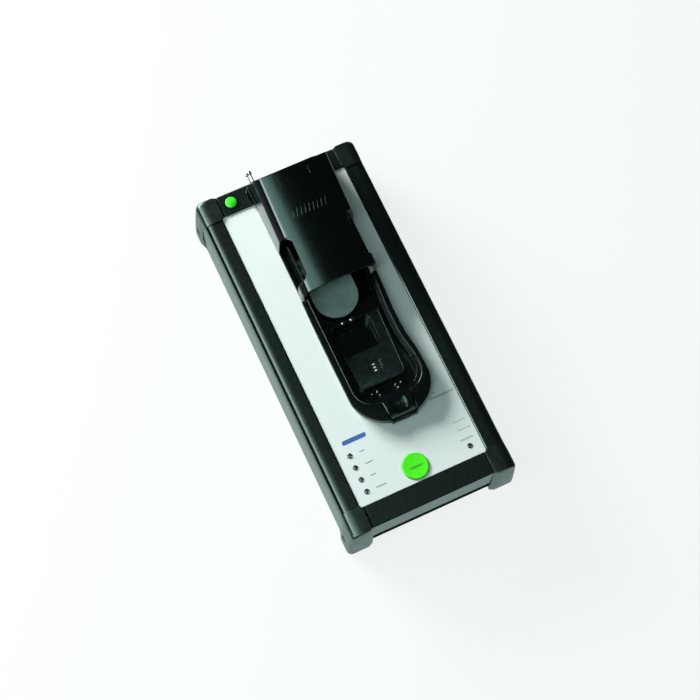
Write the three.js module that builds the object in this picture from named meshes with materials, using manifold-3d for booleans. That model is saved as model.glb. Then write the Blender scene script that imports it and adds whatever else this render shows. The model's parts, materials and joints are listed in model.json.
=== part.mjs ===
// Test and calibration station for a slim portable gas detector.
// Millimetres, +Z up, +X to the right, +Y towards the rear.
// Everything is drawn about the centre of the silver front plate's upper face.
// The closing group moves it so that the feet stand on Z = 0 and the whole is centred on the origin.

import * as THREE from 'three';
import Module from 'manifold-3d';
import { mergeVertices } from 'three/addons/utils/BufferGeometryUtils.js';

const wasm = await Module();
wasm.setup();

// ---- driving dimensions -------------------------------------------------------------------------
const GAP = 0.3; // between pieces that touch
const DECK = 52; // front plate's upper face above the surface the feet stand on
const PLATE = { halfX: 53.2, halfY: 129, corner: 1.7, thick: 1.5 };
const RAIL_TOP = 1; // rails and bars stand this much above the plate
const BOTTOM = -49.5; // lower edge of the rails, bars and caps
const CAP = { x: 50.5, y: 127.5, top: 1.8, outX: 68.6, outY: 148.6, flareX: 3.2, flareY: 1.4 };
const CRADLE_X = 7.3; // centre line of the cradle and hood
const RIM = 9; // cradle rim
const FLOOR = -10; // raised cradle floor
const CHANNEL = -14; // channel round the raised floor
const RAMP_FLOOR = -17; // floor under the tongue
const POCKET = { x0: -12.5, x1: 19, y0: -14, y1: 11.6, z: -22 }; // recess for the belt clip
const HOOD = { front: 37.2, rear: 128.5, foot: 146.5, low: 26, high: 48, wall: 2.6, fillet: 5.5 };
const HOOD_HALF = { front: 28.8, rear: 29.8, base: 32.4 };
const SCALLOP = { y0: 46, y1: 82, half: 23, z: 4, corner: 5 };
const DETECTOR_HALF = 23.5; // half width of the detector that the cradle takes
const BUTTON = { x: -1.4, y: -117, r: 10.4, travel: 0.8 };
const LED = { x: -43.4, first: -89, pitch: 10.16, count: 4, r: 1.55 };
const LINK_LED = { x: 43.5, y: -120 };
const MARKER = { x: -41.5, y: 138.1, r: 4.5 };
const NIPPLES = [
  { name: 'gas_inlet_nipple', x: -16.5, z: -9, end: 160.6, head: 1.75, stem: 1 },
  { name: 'gas_outlet_nipple', x: -17.6, z: -21, end: 164.6, head: 1.3, stem: 0.75 },
];
const DATA_PORT = { x: 8, z: -23 };
const POWER_JACK = { x: 31, z: -23 };
const TONGUE = { x: 2.3, y: 36, r: 18.5, hingeY: 72, hingeZ: -5.2, tilt: 5.2, thick: 2 };
const LATCH = { rear: -63.8, front: -80.6, halfRear: 12.2, halfFront: 10.6, pivotY: -75.6, pivotZ: 3.6 };
const SENSE_PINS = [-2, 5.4];
const SENSE_PIN_Y = 13;
const CONTACT_SETS = [
  { name: 'left_contact_pins', pins: [[-5.4, -49], [-0.8, -49], [0.3, -52]] },
  { name: 'right_contact_pins', pins: [[14.6, -49], [19.2, -49], [15.6, -52.2]] },
];
const WINDOW = { x: 6.8, y: -30, w: 10, h: 9.5 };
const CAP_SCREW = { y: 139, z: -33, shank: 1.4, head: 3, room: 0.3 };
const FOOT = { x: 54, y: 128, r: 6.8, stem: 2 };
const VENT = { count: 5, first: -20, pitch: 9, width: 4, y0: 30, y1: 62 };
const BASE_TOP = -48;
const STANDOFF = { x: 42, front: -112, rear: 72, bore: 1.6 };
const BOARD = { top: -38.4, thick: 1.6, halfX: 48, y0: -119, y1: 78 };
const KEY_BOARD_TOP = -8;
const KEY_SWITCH = { half: 2.5, top: KEY_BOARD_TOP + 1.5 };
const MANIFOLD = { y0: 104, y1: 121, z0: -22, z1: -8, half: 24, port: 15 };
const HOSE_R = 1.9;
const OVERALL_REAR = NIPPLES[1].end;
const OVERALL_FRONT = -(CAP.outY + CAP.flareY);

// ---- solids -------------------------------------------------------------------------------------
function solidOf(geometry) {
  const bare = geometry.index ? geometry.clone() : geometry;
  bare.deleteAttribute('normal');
  bare.deleteAttribute('uv');
  const merged = mergeVertices(bare, 1e-4);
  const vertProperties = new Float32Array(merged.attributes.position.array);
  const triVerts = new Uint32Array(merged.index.array);
  return new wasm.Manifold(new wasm.Mesh({ numProp: 3, vertProperties, triVerts }));
}

function geometryOf(solid) {
  const mesh = solid.getMesh();
  const geometry = new THREE.BufferGeometry();
  geometry.setAttribute('position', new THREE.BufferAttribute(mesh.vertProperties, 3));
  geometry.setIndex(new THREE.BufferAttribute(mesh.triVerts, 1));
  geometry.computeVertexNormals();
  return geometry;
}

function joined(first, ...others) {
  return others.reduce((whole, part) => whole.add(part), first);
}

function cut(body, ...tools) {
  return tools.reduce((rest, tool) => rest.subtract(tool), body);
}

function box(x0, y0, z0, x1, y1, z1) {
  const geometry = new THREE.BoxGeometry(x1 - x0, y1 - y0, z1 - z0);
  geometry.translate((x0 + x1) / 2, (y0 + y1) / 2, (z0 + z1) / 2);
  return solidOf(geometry);
}

function shapeOf(points) {
  return new THREE.Shape(points.map(([x, y]) => new THREE.Vector2(x, y)));
}

function extruded(shape, depth, options = {}) {
  return new THREE.ExtrudeGeometry(shape, { depth, bevelEnabled: false, curveSegments: 4, ...options });
}

// Outline in X and Y, from z0 up to z1.
function upward(shape, z0, z1, options) {
  return solidOf(extruded(shape, z1 - z0, options).translate(0, 0, z0));
}

// Outline in X and Z, from y0 back to y1.
function alongY(shape, y0, y1) {
  return solidOf(extruded(shape, y1 - y0).rotateX(Math.PI / 2).translate(0, y1, 0));
}

// Outline in Y and Z, from x0 across to x1.
function alongX(shape, x0, x1) {
  const turn = new THREE.Matrix4().makeBasis(
    new THREE.Vector3(0, 1, 0),
    new THREE.Vector3(0, 0, 1),
    new THREE.Vector3(1, 0, 0),
  );
  return solidOf(extruded(shape, x1 - x0).applyMatrix4(turn).translate(x0, 0, 0));
}

function roundedRect(x0, y0, x1, y1, r) {
  const shape = new THREE.Shape();
  shape.moveTo(x0 + r, y0);
  shape.lineTo(x1 - r, y0);
  shape.absarc(x1 - r, y0 + r, r, -Math.PI / 2, 0);
  shape.lineTo(x1, y1 - r);
  shape.absarc(x1 - r, y1 - r, r, 0, Math.PI / 2);
  shape.lineTo(x0 + r, y1);
  shape.absarc(x0 + r, y1 - r, r, Math.PI / 2, Math.PI);
  shape.lineTo(x0, y0 + r);
  shape.absarc(x0 + r, y0 + r, r, Math.PI, Math.PI * 1.5);
  return shape;
}

// A turned piece about +Z through (x, y): profile of [radius, z] pairs from the axis back to the axis.
function turned(profile, x, y, segments = 20) {
  const points = profile.map(([r, z]) => new THREE.Vector2(r, z));
  return solidOf(new THREE.LatheGeometry(points, segments).rotateX(Math.PI / 2).translate(x, y, 0));
}

// A rod or bore between two heights.
function rod(x, y, r, z0, z1, segments = 20) {
  return turned([[0, z0], [r, z0], [r, z1], [0, z1]], x, y, segments);
}

// The same lathe work about a line along +Y through (x, z): profile of [radius, y] pairs.
function turnedAlongY(profile, x, z, segments = 16) {
  const points = profile.map(([r, y]) => new THREE.Vector2(r, y));
  return solidOf(new THREE.LatheGeometry(points, segments).translate(x, 0, z));
}

// The same about a line along +X through (y, z): profile of [radius, x] pairs.
function turnedAlongX(profile, y, z, segments = 16) {
  const points = profile.map(([r, x]) => new THREE.Vector2(r, x));
  return solidOf(new THREE.LatheGeometry(points, segments).rotateZ(-Math.PI / 2).translate(0, y, z));
}

// A rod or bore along +X from x0 to x1 through (y, z).
function boreAlongX(r, x0, x1, y, z) {
  return turnedAlongX([[0, x0], [r, x0], [r, x1], [0, x1]], y, z, 12);
}

// A closed skin over a stack of rings with the same number of points, each anticlockwise about the
// line from the first ring to the last. `flat` gives the two coordinates that a ring is drawn in.
function skinned(rings, flat = ([x, y]) => new THREE.Vector2(x, y)) {
  const count = rings[0].length;
  const index = [];
  for (let layer = 0; layer + 1 < rings.length; layer += 1) {
    for (let i = 0; i < count; i += 1) {
      const a = layer * count + i;
      const b = layer * count + ((i + 1) % count);
      index.push(a, b, b + count, a, b + count, a + count);
    }
  }
  const last = (rings.length - 1) * count;
  for (const [i, j, k] of THREE.ShapeUtils.triangulateShape(rings[0].map(flat), [])) {
    index.push(i, k, j, last + i, last + j, last + k);
  }
  const geometry = new THREE.BufferGeometry();
  geometry.setAttribute('position', new THREE.BufferAttribute(new Float32Array(rings.flat(2)), 3));
  geometry.setIndex(index);
  return solidOf(geometry);
}

// An outline moved inwards by a distance, each corner along its bisector.
function insetOutline(points, distance) {
  const count = points.length;
  const inward = (p, q) => new THREE.Vector2(p.y - q.y, q.x - p.x).normalize();
  return points.map((p, i) => {
    const before = inward(points[(i + count - 1) % count], p);
    const after = inward(p, points[(i + 1) % count]);
    const bisector = before.clone().add(after);
    return p.clone().addScaledVector(bisector, distance / (1 + before.dot(after)));
  });
}

// Outline in X and Y from z0 up to z1, its upper edge rounded to a radius.
function softTopped(shape, z0, z1, radius) {
  const outline = shape.getPoints(7).slice(0, -1);
  const steps = [0, 1, 2].map((i) => (i / 2) * (Math.PI / 2));
  const levels = [
    [0, z0],
    ...steps.map((a) => [radius * (1 - Math.cos(a)), z1 - radius + radius * Math.sin(a)]),
  ];
  return skinned(levels.map(([inset, z]) => insetOutline(outline, inset).map((p) => [p.x, p.y, z])));
}

// A round tube of wire or hose along a three.js curve.
function tube(curve, r, sides, steps) {
  const section = new THREE.Shape();
  section.absarc(0, 0, r, 0, Math.PI * 2);
  return solidOf(extruded(section, 1, { curveSegments: sides, steps, extrudePath: curve }));
}

class Coil extends THREE.Curve {
  constructor(axis, radius, turns, pitch) {
    super();
    Object.assign(this, { axis, radius, turns, pitch });
  }

  getPoint(t, target = new THREE.Vector3()) {
    const angle = t * this.turns * Math.PI * 2;
    const along = t * this.turns * this.pitch;
    const across = this.radius * Math.cos(angle);
    const other = this.radius * Math.sin(angle);
    return this.axis === 'x' ? target.set(along, across, other) : target.set(across, other, along);
  }
}

// ---- enclosure ----------------------------------------------------------------------------------
const railProfile = () => shapeOf([
  [53.5, RAIL_TOP], [64.2, RAIL_TOP], [65.6, 0.4], [66.2, -0.7], [66.4, -2.4], [67.2, -2.4],
  [67.5, -0.9], [68.3, -1.1], [68.9, -9], [69.4, -26], [69.4, BOTTOM], [66.6, BOTTOM],
  [66.6, -47.7], [58, -47.7], [58, -45.7], [66.4, -45.7], [66, -12], [64.8, -4.5], [63, -2.3],
  [55.6, -2.3], [55.6, -4.3], [50.5, -4.3], [50.5, -1.8], [53.5, -1.8],
]);

const barProfile = () => shapeOf([
  [129.3, RAIL_TOP], [146.2, RAIL_TOP], [147, 0.2], [147, -29.5], [146.2, -30.6], [144.8, -31.4],
  [144.8, BOTTOM], [142.2, BOTTOM], [142.2, -47.7], [133, -47.7], [133, -45.7], [142, -45.7],
  [142, -32.5], [144.2, -29], [144.2, -2.3], [131.4, -2.3], [131.4, -4.3], [127.8, -4.3],
  [127.8, -1.8], [129.3, -1.8],
]);

// Curved edge between a rail's side wall and a cap: an ellipse across the joint.
function sideEdge(end, slack) {
  const curve = new THREE.EllipseCurve(end * 127.2, -25.5, 4.6 + slack, 23 + slack, 0, Math.PI * 2);
  return alongX(new THREE.Shape(curve.getPoints(28)), 66.9 - slack, 75);
}

function rail() {
  const whole = alongY(railProfile(), -132.5, 132.5);
  const keep = joined(
    box(40, -CAP.y + GAP, -60, 80, CAP.y - GAP, 10),
    sideEdge(-1, 0),
    sideEdge(1, 0),
  );
  return whole.intersect(keep);
}

function rearBarHoles() {
  const nippleHoles = NIPPLES.map(({ x, z }) => turnedAlongY([[0, 138], [2, 138], [2, 150], [0, 150]], x, z));
  return [
    ...nippleHoles,
    box(DATA_PORT.x - 6.6, 138, DATA_PORT.z - 6.1, DATA_PORT.x + 6.6, 150, DATA_PORT.z + 6.1),
    box(POWER_JACK.x - 5, 138, POWER_JACK.z - 6, POWER_JACK.x + 5, 150, POWER_JACK.z + 6),
    rod(MARKER.x, MARKER.y, 3.3, -4, 3),
  ];
}

const bar = () => alongX(barProfile(), -CAP.x + GAP, CAP.x - GAP);

function capRing(z) {
  const down = (CAP.top - z) / (CAP.top - BOTTOM);
  const outX = CAP.outX + CAP.flareX * Math.sin((down * Math.PI) / 2);
  const outY = CAP.outY + CAP.flareY * Math.sin((down * Math.PI) / 2);
  const r = 1.2 + 6 * Math.min(1, down * 1.6);
  const corner = Array.from({ length: 7 }, (_, i) => {
    const angle = (i / 6) * (Math.PI / 2);
    return [outX - r + r * Math.cos(angle), outY - r + r * Math.sin(angle), z];
  });
  return [[CAP.x, CAP.y, z], [outX, CAP.y, z], ...corner, [CAP.x + 4, outY, z], [CAP.x, outY - 1.8, z]];
}

// Cap for the rear right corner; the others are its mirror images.
function cornerCap() {
  const heights = [BOTTOM, -38, -26, -14, -5, CAP.top - 0.6];
  const rings = heights.map(capRing);
  const rim = capRing(CAP.top).map(([x, y, z]) => [
    Math.min(x, CAP.outX - 0.5),
    Math.min(y, CAP.outY - 0.5),
    z,
  ]);
  const inside = upward(roundedRect(40, 120, 66.2, 145.8, 3), -60, -1.4);
  const groove = box(66.3, 120, -1.4, 67.3, 147.6, 5);
  const innerSlope = alongY(shapeOf([[49, -0.4], [53.4, 2], [53.4, 4], [49, 4]]), 120, 155);
  const { y, z, shank, head, room } = CAP_SCREW;
  const bore = shank + room;
  const counterbore = head + room;
  const screwHole = turnedAlongX(
    [[0, 60], [bore, 60], [bore, 69.2], [counterbore, 69.2], [counterbore, 75], [0, 75]], y, z,
  );
  const plateRoom = box(40, 120, -20, PLATE.halfX + GAP, PLATE.halfY + GAP, 10);
  const shell = cut(skinned([...rings, rim]), inside, plateRoom);
  return cut(shell, groove, innerSlope, sideEdge(1, GAP), screwHole);
}

function capScrew() {
  const { y, z, shank, head } = CAP_SCREW;
  const body = turnedAlongX(
    [[0, 60], [shank, 60], [shank, 69.5], [head, 69.5], [head, 70.3], [head - 0.6, 70.9], [0, 70.9]], y, z,
  );
  const slot = box(70.1, y - 4, z - 0.4, 72, y + 4, z + 0.4);
  return cut(body, slot);
}

const footPlaces = [[-1, -1], [1, -1], [-1, 1], [1, 1]].map(([sx, sy]) => [sx * FOOT.x, sy * FOOT.y]);

function foot(x, y) {
  const { r, stem } = FOOT;
  const profile = [
    [0, -DECK], [r - 0.8, -DECK], [r, -DECK + 0.8], [r, BOTTOM - GAP], [stem, BOTTOM - GAP],
    [stem, -46.4], [0, -46.4],
  ];
  return turned(profile, x, y, 16);
}

function basePlate() {
  const outline = roundedRect(-65.8, -141, 65.8, 141, 3);
  const sheet = upward(outline, BOTTOM, BASE_TOP, { curveSegments: 2 });
  const capRoom = [[1, 1], [1, -1], [-1, 1], [-1, -1]].map(([sx, sy]) => cornerRoom(sx, sy));
  const holes = footPlaces.map(([x, y]) => rod(x, y, FOOT.stem + GAP, -60, -40, 12));
  const vents = Array.from({ length: VENT.count }, (_, i) => {
    const x = VENT.first + i * VENT.pitch;
    return box(x, VENT.y0, -60, x + VENT.width, VENT.y1, -40);
  });
  return cut(sheet, ...capRoom, ...holes, ...vents);
}

// Space that a cap's foot takes from the base plate's corner.
function cornerRoom(sx, sy) {
  const x = [66 * sx, 80 * sx].sort((a, b) => a - b);
  const y = [120 * sy, 160 * sy].sort((a, b) => a - b);
  return box(x[0], y[0], -60, x[1], y[1], 0);
}

// ---- front plate and what stands in it ----------------------------------------------------------
const ledPlaces = [
  ...Array.from({ length: LED.count }, (_, i) => ({
    name: `status_led_${i + 1}`,
    x: LED.x,
    y: LED.first - i * LED.pitch,
  })),
  { name: 'link_led', x: LINK_LED.x, y: LINK_LED.y },
];

// Right-hand side of the well, with its waist; the left side is straight.
function wellShape(grow = 1, rear = 60) {
  const side = new THREE.SplineCurve([
    new THREE.Vector2(35.8, -46), new THREE.Vector2(35, -36), new THREE.Vector2(32.6, -22),
    new THREE.Vector2(31.9, -8), new THREE.Vector2(32, 6), new THREE.Vector2(33, 22),
    new THREE.Vector2(34, 38), new THREE.Vector2(34.2, 60),
  ]);
  const front = new THREE.Path();
  front.moveTo(-21.2, -46);
  front.absarc(-5.2, -46, 16, Math.PI, Math.PI * 1.5);
  front.lineTo(19.8, -62);
  front.absarc(19.8, -46, 16, Math.PI * 1.5, Math.PI * 2);
  const points = [...front.getPoints(4), ...side.getPoints(10).slice(1)];
  const scaled = points.map((p) => [CRADLE_X + (p.x - CRADLE_X) * grow, -10 + (p.y + 10) * grow]);
  const last = scaled[scaled.length - 1][0];
  return shapeOf([...scaled, [last, rear], [scaled[0][0], rear]]);
}

function frontPlate() {
  const { halfX, halfY, corner, thick } = PLATE;
  const sheet = upward(roundedRect(-halfX, -halfY, halfX, halfY, corner), -thick, 0);
  const ledHoles = ledPlaces.map(({ x, y }) => rod(x, y, 1.9, -3, 3, 16));
  const buttonHole = rod(BUTTON.x, BUTTON.y, BUTTON.r + 0.35, -3, 3, 40);
  return cut(sheet, upward(wellShape(1.022, 100.6), -5, 5), buttonHole, ...ledHoles);
}

function startButton() {
  const { x, y, r } = BUTTON;
  const stemEnd = KEY_SWITCH.top + BUTTON.travel + 0.1;
  const profile = [
    [0, stemEnd], [1.6, stemEnd], [1.6, -4.6], [r, -4.6], [r, 0.7], [r - 0.5, 1.1], [r - 3, 1], [0, 0.8],
  ];
  const lugs = box(x - r - 1.6, y - 4, -4.6, x + r + 1.6, y + 4, -2.7);
  return joined(turned(profile, x, y, 40), lugs);
}

function ledLens({ x, y }) {
  const { r } = LED;
  return turned([[0, -7.6], [2.3, -7.6], [2.3, -2], [r, -2], [r, -0.3], [r * 0.7, 0.1], [0, 0.3]], x, y, 14);
}

function greenMarker() {
  const { x, y, r } = MARKER;
  return turned([[0, -2], [3, -2], [3, 1.3], [r, 1.3], [r, 2], [r - 0.5, 2.3], [0, 2.4]], x, y, 28);
}

function nipple({ x, z, end, head, stem }) {
  const profile = [
    [0, 138.6], [1.7, 138.6], [1.7, 147.3], [2.6, 147.3], [2.6, 148.6], [stem, 149.4],
    [stem, end - 3], [head, end - 2.4], [head, end - 0.8], [head * 0.75, end], [0, end],
  ];
  return turnedAlongY(profile, x, z);
}

function powerJack() {
  const { x, z } = POWER_JACK;
  const body = box(x - 4.6, 136, z - 5.6, x + 4.6, 147.2, z + 5.6);
  const hole = turnedAlongY([[0, 138], [3.1, 138], [3.1, 150], [0, 150]], x, z);
  const pin = turnedAlongY([[0, 137], [1, 137], [1, 145.5], [0, 146.2]], x, z, 10);
  return joined(cut(body, hole), pin);
}

function dataPort() {
  const { x, z } = DATA_PORT;
  const shell = box(x - 6.2, 133, z - 5.7, x + 6.2, 147.2, z + 5.7);
  const mouth = box(x - 4.4, 136, z - 4, x + 4.4, 150, z + 4);
  const blade = box(x - 2.6, 135, z - 1.3, x + 2.6, 145.4, z + 1.3);
  return joined(cut(shell, mouth), blade);
}

// ---- cradle -------------------------------------------------------------------------------------
function cradleOutline() {
  const shape = new THREE.Shape();
  shape.moveTo(-22.5, 36.6);
  shape.lineTo(-24.3, -52);
  shape.absellipse(7.7, -52, 32, 28, Math.PI, Math.PI * 2);
  shape.splineThru([
    new THREE.Vector2(39.3, -44), new THREE.Vector2(38.1, -32), new THREE.Vector2(35.8, -20),
    new THREE.Vector2(35.1, -8), new THREE.Vector2(35.3, 6), new THREE.Vector2(36.3, 20),
    new THREE.Vector2(37.2, 36.6),
  ]);
  shape.closePath();
  return shape;
}

// Raised floor: it narrows towards the front and its front corners are round.
function raisedFloor() {
  const half = { rear: 21.4, front: 16.6 };
  const shape = new THREE.Shape();
  shape.moveTo(CRADLE_X - half.rear, 14.5);
  shape.lineTo(CRADLE_X - half.front, -39);
  shape.quadraticCurveTo(CRADLE_X - half.front, -44, CRADLE_X - half.front + 5, -44);
  shape.lineTo(CRADLE_X + half.front - 5, -44);
  shape.quadraticCurveTo(CRADLE_X + half.front, -44, CRADLE_X + half.front, -39);
  shape.lineTo(CRADLE_X + half.rear, 14.5);
  return upward(shape, CHANNEL - 1, FLOOR);
}

function latchSlot(slack) {
  const { rear, front, halfRear, halfFront } = LATCH;
  return shapeOf([
    [CRADLE_X - halfRear - slack, rear + slack], [CRADLE_X - halfFront - slack, front - 3],
    [CRADLE_X + halfFront + slack, front - 3], [CRADLE_X + halfRear + slack, rear + slack],
  ]);
}

function cradle() {
  const ring = softTopped(cradleOutline(), GAP, RIM, 2.4);
  const tub = upward(wellShape(0.995, 100), -19, 0.6);
  const pocketBox = box(POCKET.x0 - 2, POCKET.y0 - 2, POCKET.z - 2, POCKET.x1 + 2, 14.5, RAMP_FLOOR);
  const well = upward(wellShape(1, 60), 3, 20);
  const lower = upward(wellShape(0.92, 97.6), CHANNEL, 5);
  const rampRoom = box(CRADLE_X - 25, 14.5, RAMP_FLOOR, CRADLE_X + 25, 97.6, -12);
  const pocket = upward(roundedRect(POCKET.x0, POCKET.y0, POCKET.x1, POCKET.y1, 4), POCKET.z, -5);
  const under = box(CRADLE_X - 13, -43, -30, CRADLE_X + 13, -19, FLOOR - 2.4);
  const [windowX, windowY] = [WINDOW.w / 2, WINDOW.h / 2];
  const floorWindow = box(
    WINDOW.x - windowX, WINDOW.y - windowY, -30, WINDOW.x + windowX, WINDOW.y + windowY, 0,
  );
  const latchRoom = upward(latchSlot(0.5), 1.2, 20);
  const pinHoles = CONTACT_SETS.flatMap(({ pins }) => pins.map(([x, y]) => rod(x, y, 1.15, -30, 0, 8)));
  const senseHoles = SENSE_PINS.map((x) => turned(
    [[0, -40], [1.25, -40], [1.25, -14.2], [1.95, -14.2], [1.95, 0], [0, 0]], x, SENSE_PIN_Y, 12,
  ));
  const ears = [-1, 1].map((side) => {
    const x = TONGUE.x + side * 20.2;
    return alongX(shapeOf([[66.5, -18], [77.5, -18], [74.5, -2.6], [69.5, -2.6]]), x - 0.9, x + 0.9);
  });
  const tonguePinBore = boreAlongX(1.3, -30, 40, TONGUE.hingeY, TONGUE.hingeZ);
  const latchPinBore = boreAlongX(1.1, -10, 25, LATCH.pivotY, LATCH.pivotZ);
  const body = cut(joined(ring, tub, pocketBox), well, lower, rampRoom, latchRoom);
  const floored = cut(joined(body, raisedFloor()), pocket, under, floorWindow);
  return cut(joined(floored, ...ears), tonguePinBore, latchPinBore, ...pinHoles, ...senseHoles);
}

// ---- hood ---------------------------------------------------------------------------------------
// One cross-section of the hood at a given y, thinner by `inset` on every side.
function hoodRing(y, inset) {
  const t = (y - HOOD.front) / (HOOD.rear - HOOD.front);
  const top = HOOD.low + t * (HOOD.high - HOOD.low) - inset;
  const half = HOOD_HALF.front + t * (HOOD_HALF.rear - HOOD_HALF.front) - inset;
  const foot = HOOD_HALF.base - inset;
  const r = HOOD.fillet - inset * 0.7;
  const arc = Array.from({ length: 6 }, (_, i) => {
    const angle = (i / 5) * (Math.PI / 2);
    return [half - r + r * Math.cos(angle), top - r + r * Math.sin(angle)];
  });
  const right = [[foot, -1], ...arc];
  const left = [...right].reverse().map(([x, z]) => [-x, z]);
  return [...right, ...left].map(([x, z]) => [CRADLE_X + x, y, z]);
}

function hoodSkin(y0, y1, inset) {
  return skinned([hoodRing(y1, inset), hoodRing(y0, inset)], ([x, , z]) => new THREE.Vector2(x, z));
}

function hoodFoot() {
  const half = HOOD_HALF.base + 3;
  const plan = roundedRect(CRADLE_X - half, 110, CRADLE_X + half, HOOD.foot + 0.3, 10);
  return upward(plan, RAIL_TOP + GAP, 2.8).intersect(box(-60, 129.4, 0, 60, 160, 10));
}

function scallopCutter(side) {
  const inner = CRADLE_X + side * SCALLOP.half;
  const outer = CRADLE_X + side * 50;
  const { y0, y1, corner } = SCALLOP;
  const plan = roundedRect(Math.min(inner, outer), y0, Math.max(inner, outer), y1, corner);
  return upward(plan, SCALLOP.z, 70);
}

function hood() {
  const lean = (HOOD.foot - HOOD.rear) / (HOOD.high - RAIL_TOP);
  const side = shapeOf([
    [HOOD.front, 0.6], [129.2, 0.6], [129.2, RAIL_TOP + GAP], [HOOD.foot, RAIL_TOP + GAP],
    [HOOD.rear - 20 * lean, HOOD.high + 20], [HOOD.front, HOOD.high + 20],
  ]);
  const outer = hoodSkin(20, 160, 0).intersect(alongX(side, -60, 80));
  const roundedPlan = upward(roundedRect(CRADLE_X - 40, 0, CRADLE_X + 40, HOOD.foot, 18), -5, 80);
  const inner = hoodSkin(10, 123, HOOD.wall).intersect(box(-60, 10, -5, 60, 123, 80));
  const shell = joined(outer.intersect(roundedPlan), hoodFoot());
  return cut(shell, inner, scallopCutter(-1), scallopCutter(1));
}

// Ribbed gripping guide behind a finger scallop.
function fingerGuide(side) {
  const near = DETECTOR_HALF + 0.4;
  const waves = 4;
  const span = SCALLOP.y1 - SCALLOP.y0 - 3;
  const points = Array.from({ length: 33 }, (_, i) => {
    const t = i / 32;
    const bump = 0.7 * (1 - Math.cos(t * waves * Math.PI * 2));
    return [CRADLE_X + side * (near + 1.5 - bump), SCALLOP.y0 + 1.5 + t * span];
  });
  const back = CRADLE_X + side * (near + 2.6);
  const y0 = SCALLOP.y0 + 1.5;
  return upward(shapeOf([...points, [back, y0 + span], [back, y0]]), 0.9, 19);
}

// ---- moving pieces of the cradle ----------------------------------------------------------------
function tongue() {
  const { x, y, r, hingeY, hingeZ, tilt, thick } = TONGUE;
  const plan = new THREE.Shape();
  plan.moveTo(x - r, hingeY + 1.5);
  plan.lineTo(x - r, y);
  plan.absarc(x, y, r, Math.PI, Math.PI * 2);
  plan.lineTo(x + r, hingeY + 1.5);
  const blade = extruded(plan, thick, { curveSegments: 14 });
  blade.translate(0, -hingeY, -thick / 2).rotateX(THREE.MathUtils.degToRad(tilt));
  const leaf = solidOf(blade.translate(0, hingeY, hingeZ));
  const barrel = turnedAlongX([[0, x - r], [2.5, x - r], [2.5, x + r], [0, x + r]], hingeY, hingeZ);
  return cut(joined(leaf, barrel), boreAlongX(1.35, x - 30, x + 30, hingeY, hingeZ));
}

function tonguePin() {
  const { x, hingeY, hingeZ } = TONGUE;
  return boreAlongX(1, x - 21.3, x + 21.3, hingeY, hingeZ);
}

function latch() {
  const { front, pivotY, pivotZ, halfRear, halfFront, rear } = LATCH;
  const side = shapeOf([
    [rear, 8.4], [rear, 10.6], [-66.4, 10.9], [-72, 9.9], [-77.6, 7.6], [front + 0.6, 4.6], [front, 3],
    [front + 1.4, 2.1], [-78, 1.8], [-73.6, 1.8], [-70.6, 4.4], [-66, 6.6],
  ]);
  const plan = shapeOf([
    [CRADLE_X - halfRear, rear + 1], [CRADLE_X - halfFront, front - 1],
    [CRADLE_X + halfFront, front - 1], [CRADLE_X + halfRear, rear + 1],
  ]);
  const body = alongX(side, -20, 40).intersect(upward(plan, 0, 20));
  const springRoom = box(CRADLE_X - 2.6, -79, 0, CRADLE_X + 2.6, -71, 6.3);
  return cut(body, boreAlongX(1.15, -20, 40, pivotY, pivotZ), springRoom);
}

function latchPin() {
  return boreAlongX(0.85, -9.4, 24, LATCH.pivotY, LATCH.pivotZ);
}

function latchSpring() {
  const coil = tube(new Coil('x', 1.5, 4, 1), 0.28, 3, 44);
  return coil.translate([CRADLE_X - 2, LATCH.pivotY, LATCH.pivotZ]);
}

function contactPins({ pins }) {
  const xs = pins.map(([x]) => x);
  const bridge = box(Math.min(...xs) - 1.4, -53.6, -22.2, Math.max(...xs) + 1.4, -47.6, -20.8);
  const rods = pins.map(([x, y]) => {
    const profile = [[0, -21.4], [0.85, -21.4], [0.85, -10.6], [0.6, -10], [0, -9.8]];
    return turned(profile, x, y, 12);
  });
  return joined(bridge, ...rods);
}

function sensePin(x) {
  const clip = POCKET.z - 2 - GAP;
  const profile = [
    [0, clip - 1.4], [1.8, clip - 1.4], [1.8, clip], [0.95, clip], [0.95, -12.9], [1.6, -12.5],
    [1.6, -9.6], [1.1, -8.8], [0, -8.4],
  ];
  return turned(profile, x, SENSE_PIN_Y, 14);
}

// Three arched spring fingers on one carrier, seen through the window in the raised floor.
function floorContact() {
  const carrier = box(WINDOW.x - 7, WINDOW.y - 6.4, -15.2, WINDOW.x + 7, WINDOW.y + 6.4, -13.4);
  const fingers = [-2.7, 0, 2.7].map((dy) => {
    const arch = new THREE.Shape();
    arch.moveTo(WINDOW.x - 4.4, -14);
    arch.quadraticCurveTo(WINDOW.x, -6.6, WINDOW.x + 4.4, -14);
    arch.lineTo(WINDOW.x + 3.7, -14);
    arch.quadraticCurveTo(WINDOW.x, -7.6, WINDOW.x - 3.7, -14);
    return alongY(arch, WINDOW.y + dy - 0.8, WINDOW.y + dy + 0.8);
  });
  return joined(carrier, ...fingers);
}

// ---- inside the box -----------------------------------------------------------------------------
const standoffPlaces = [STANDOFF.front, STANDOFF.rear].flatMap((y) => [[-STANDOFF.x, y], [STANDOFF.x, y]]);

function mainBoard() {
  const { top, thick, halfX, y0, y1 } = BOARD;
  const sheet = upward(roundedRect(-halfX, y0, halfX, y1, 2), top - thick, top);
  const chips = [
    box(-30, -90, top - 0.5, -12, -72, top + 1.6),
    box(10, -96, top - 0.5, 24, -84, top + 1.4),
    box(-20, 20, top - 0.5, 6, 34, top + 2),
    box(20, 40, top - 0.5, 34, 66, top + 9),
  ];
  const holes = standoffPlaces.map(([x, y]) => rod(x, y, STANDOFF.bore, -60, -30, 8));
  return cut(joined(sheet, ...chips), ...holes);
}

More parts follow.
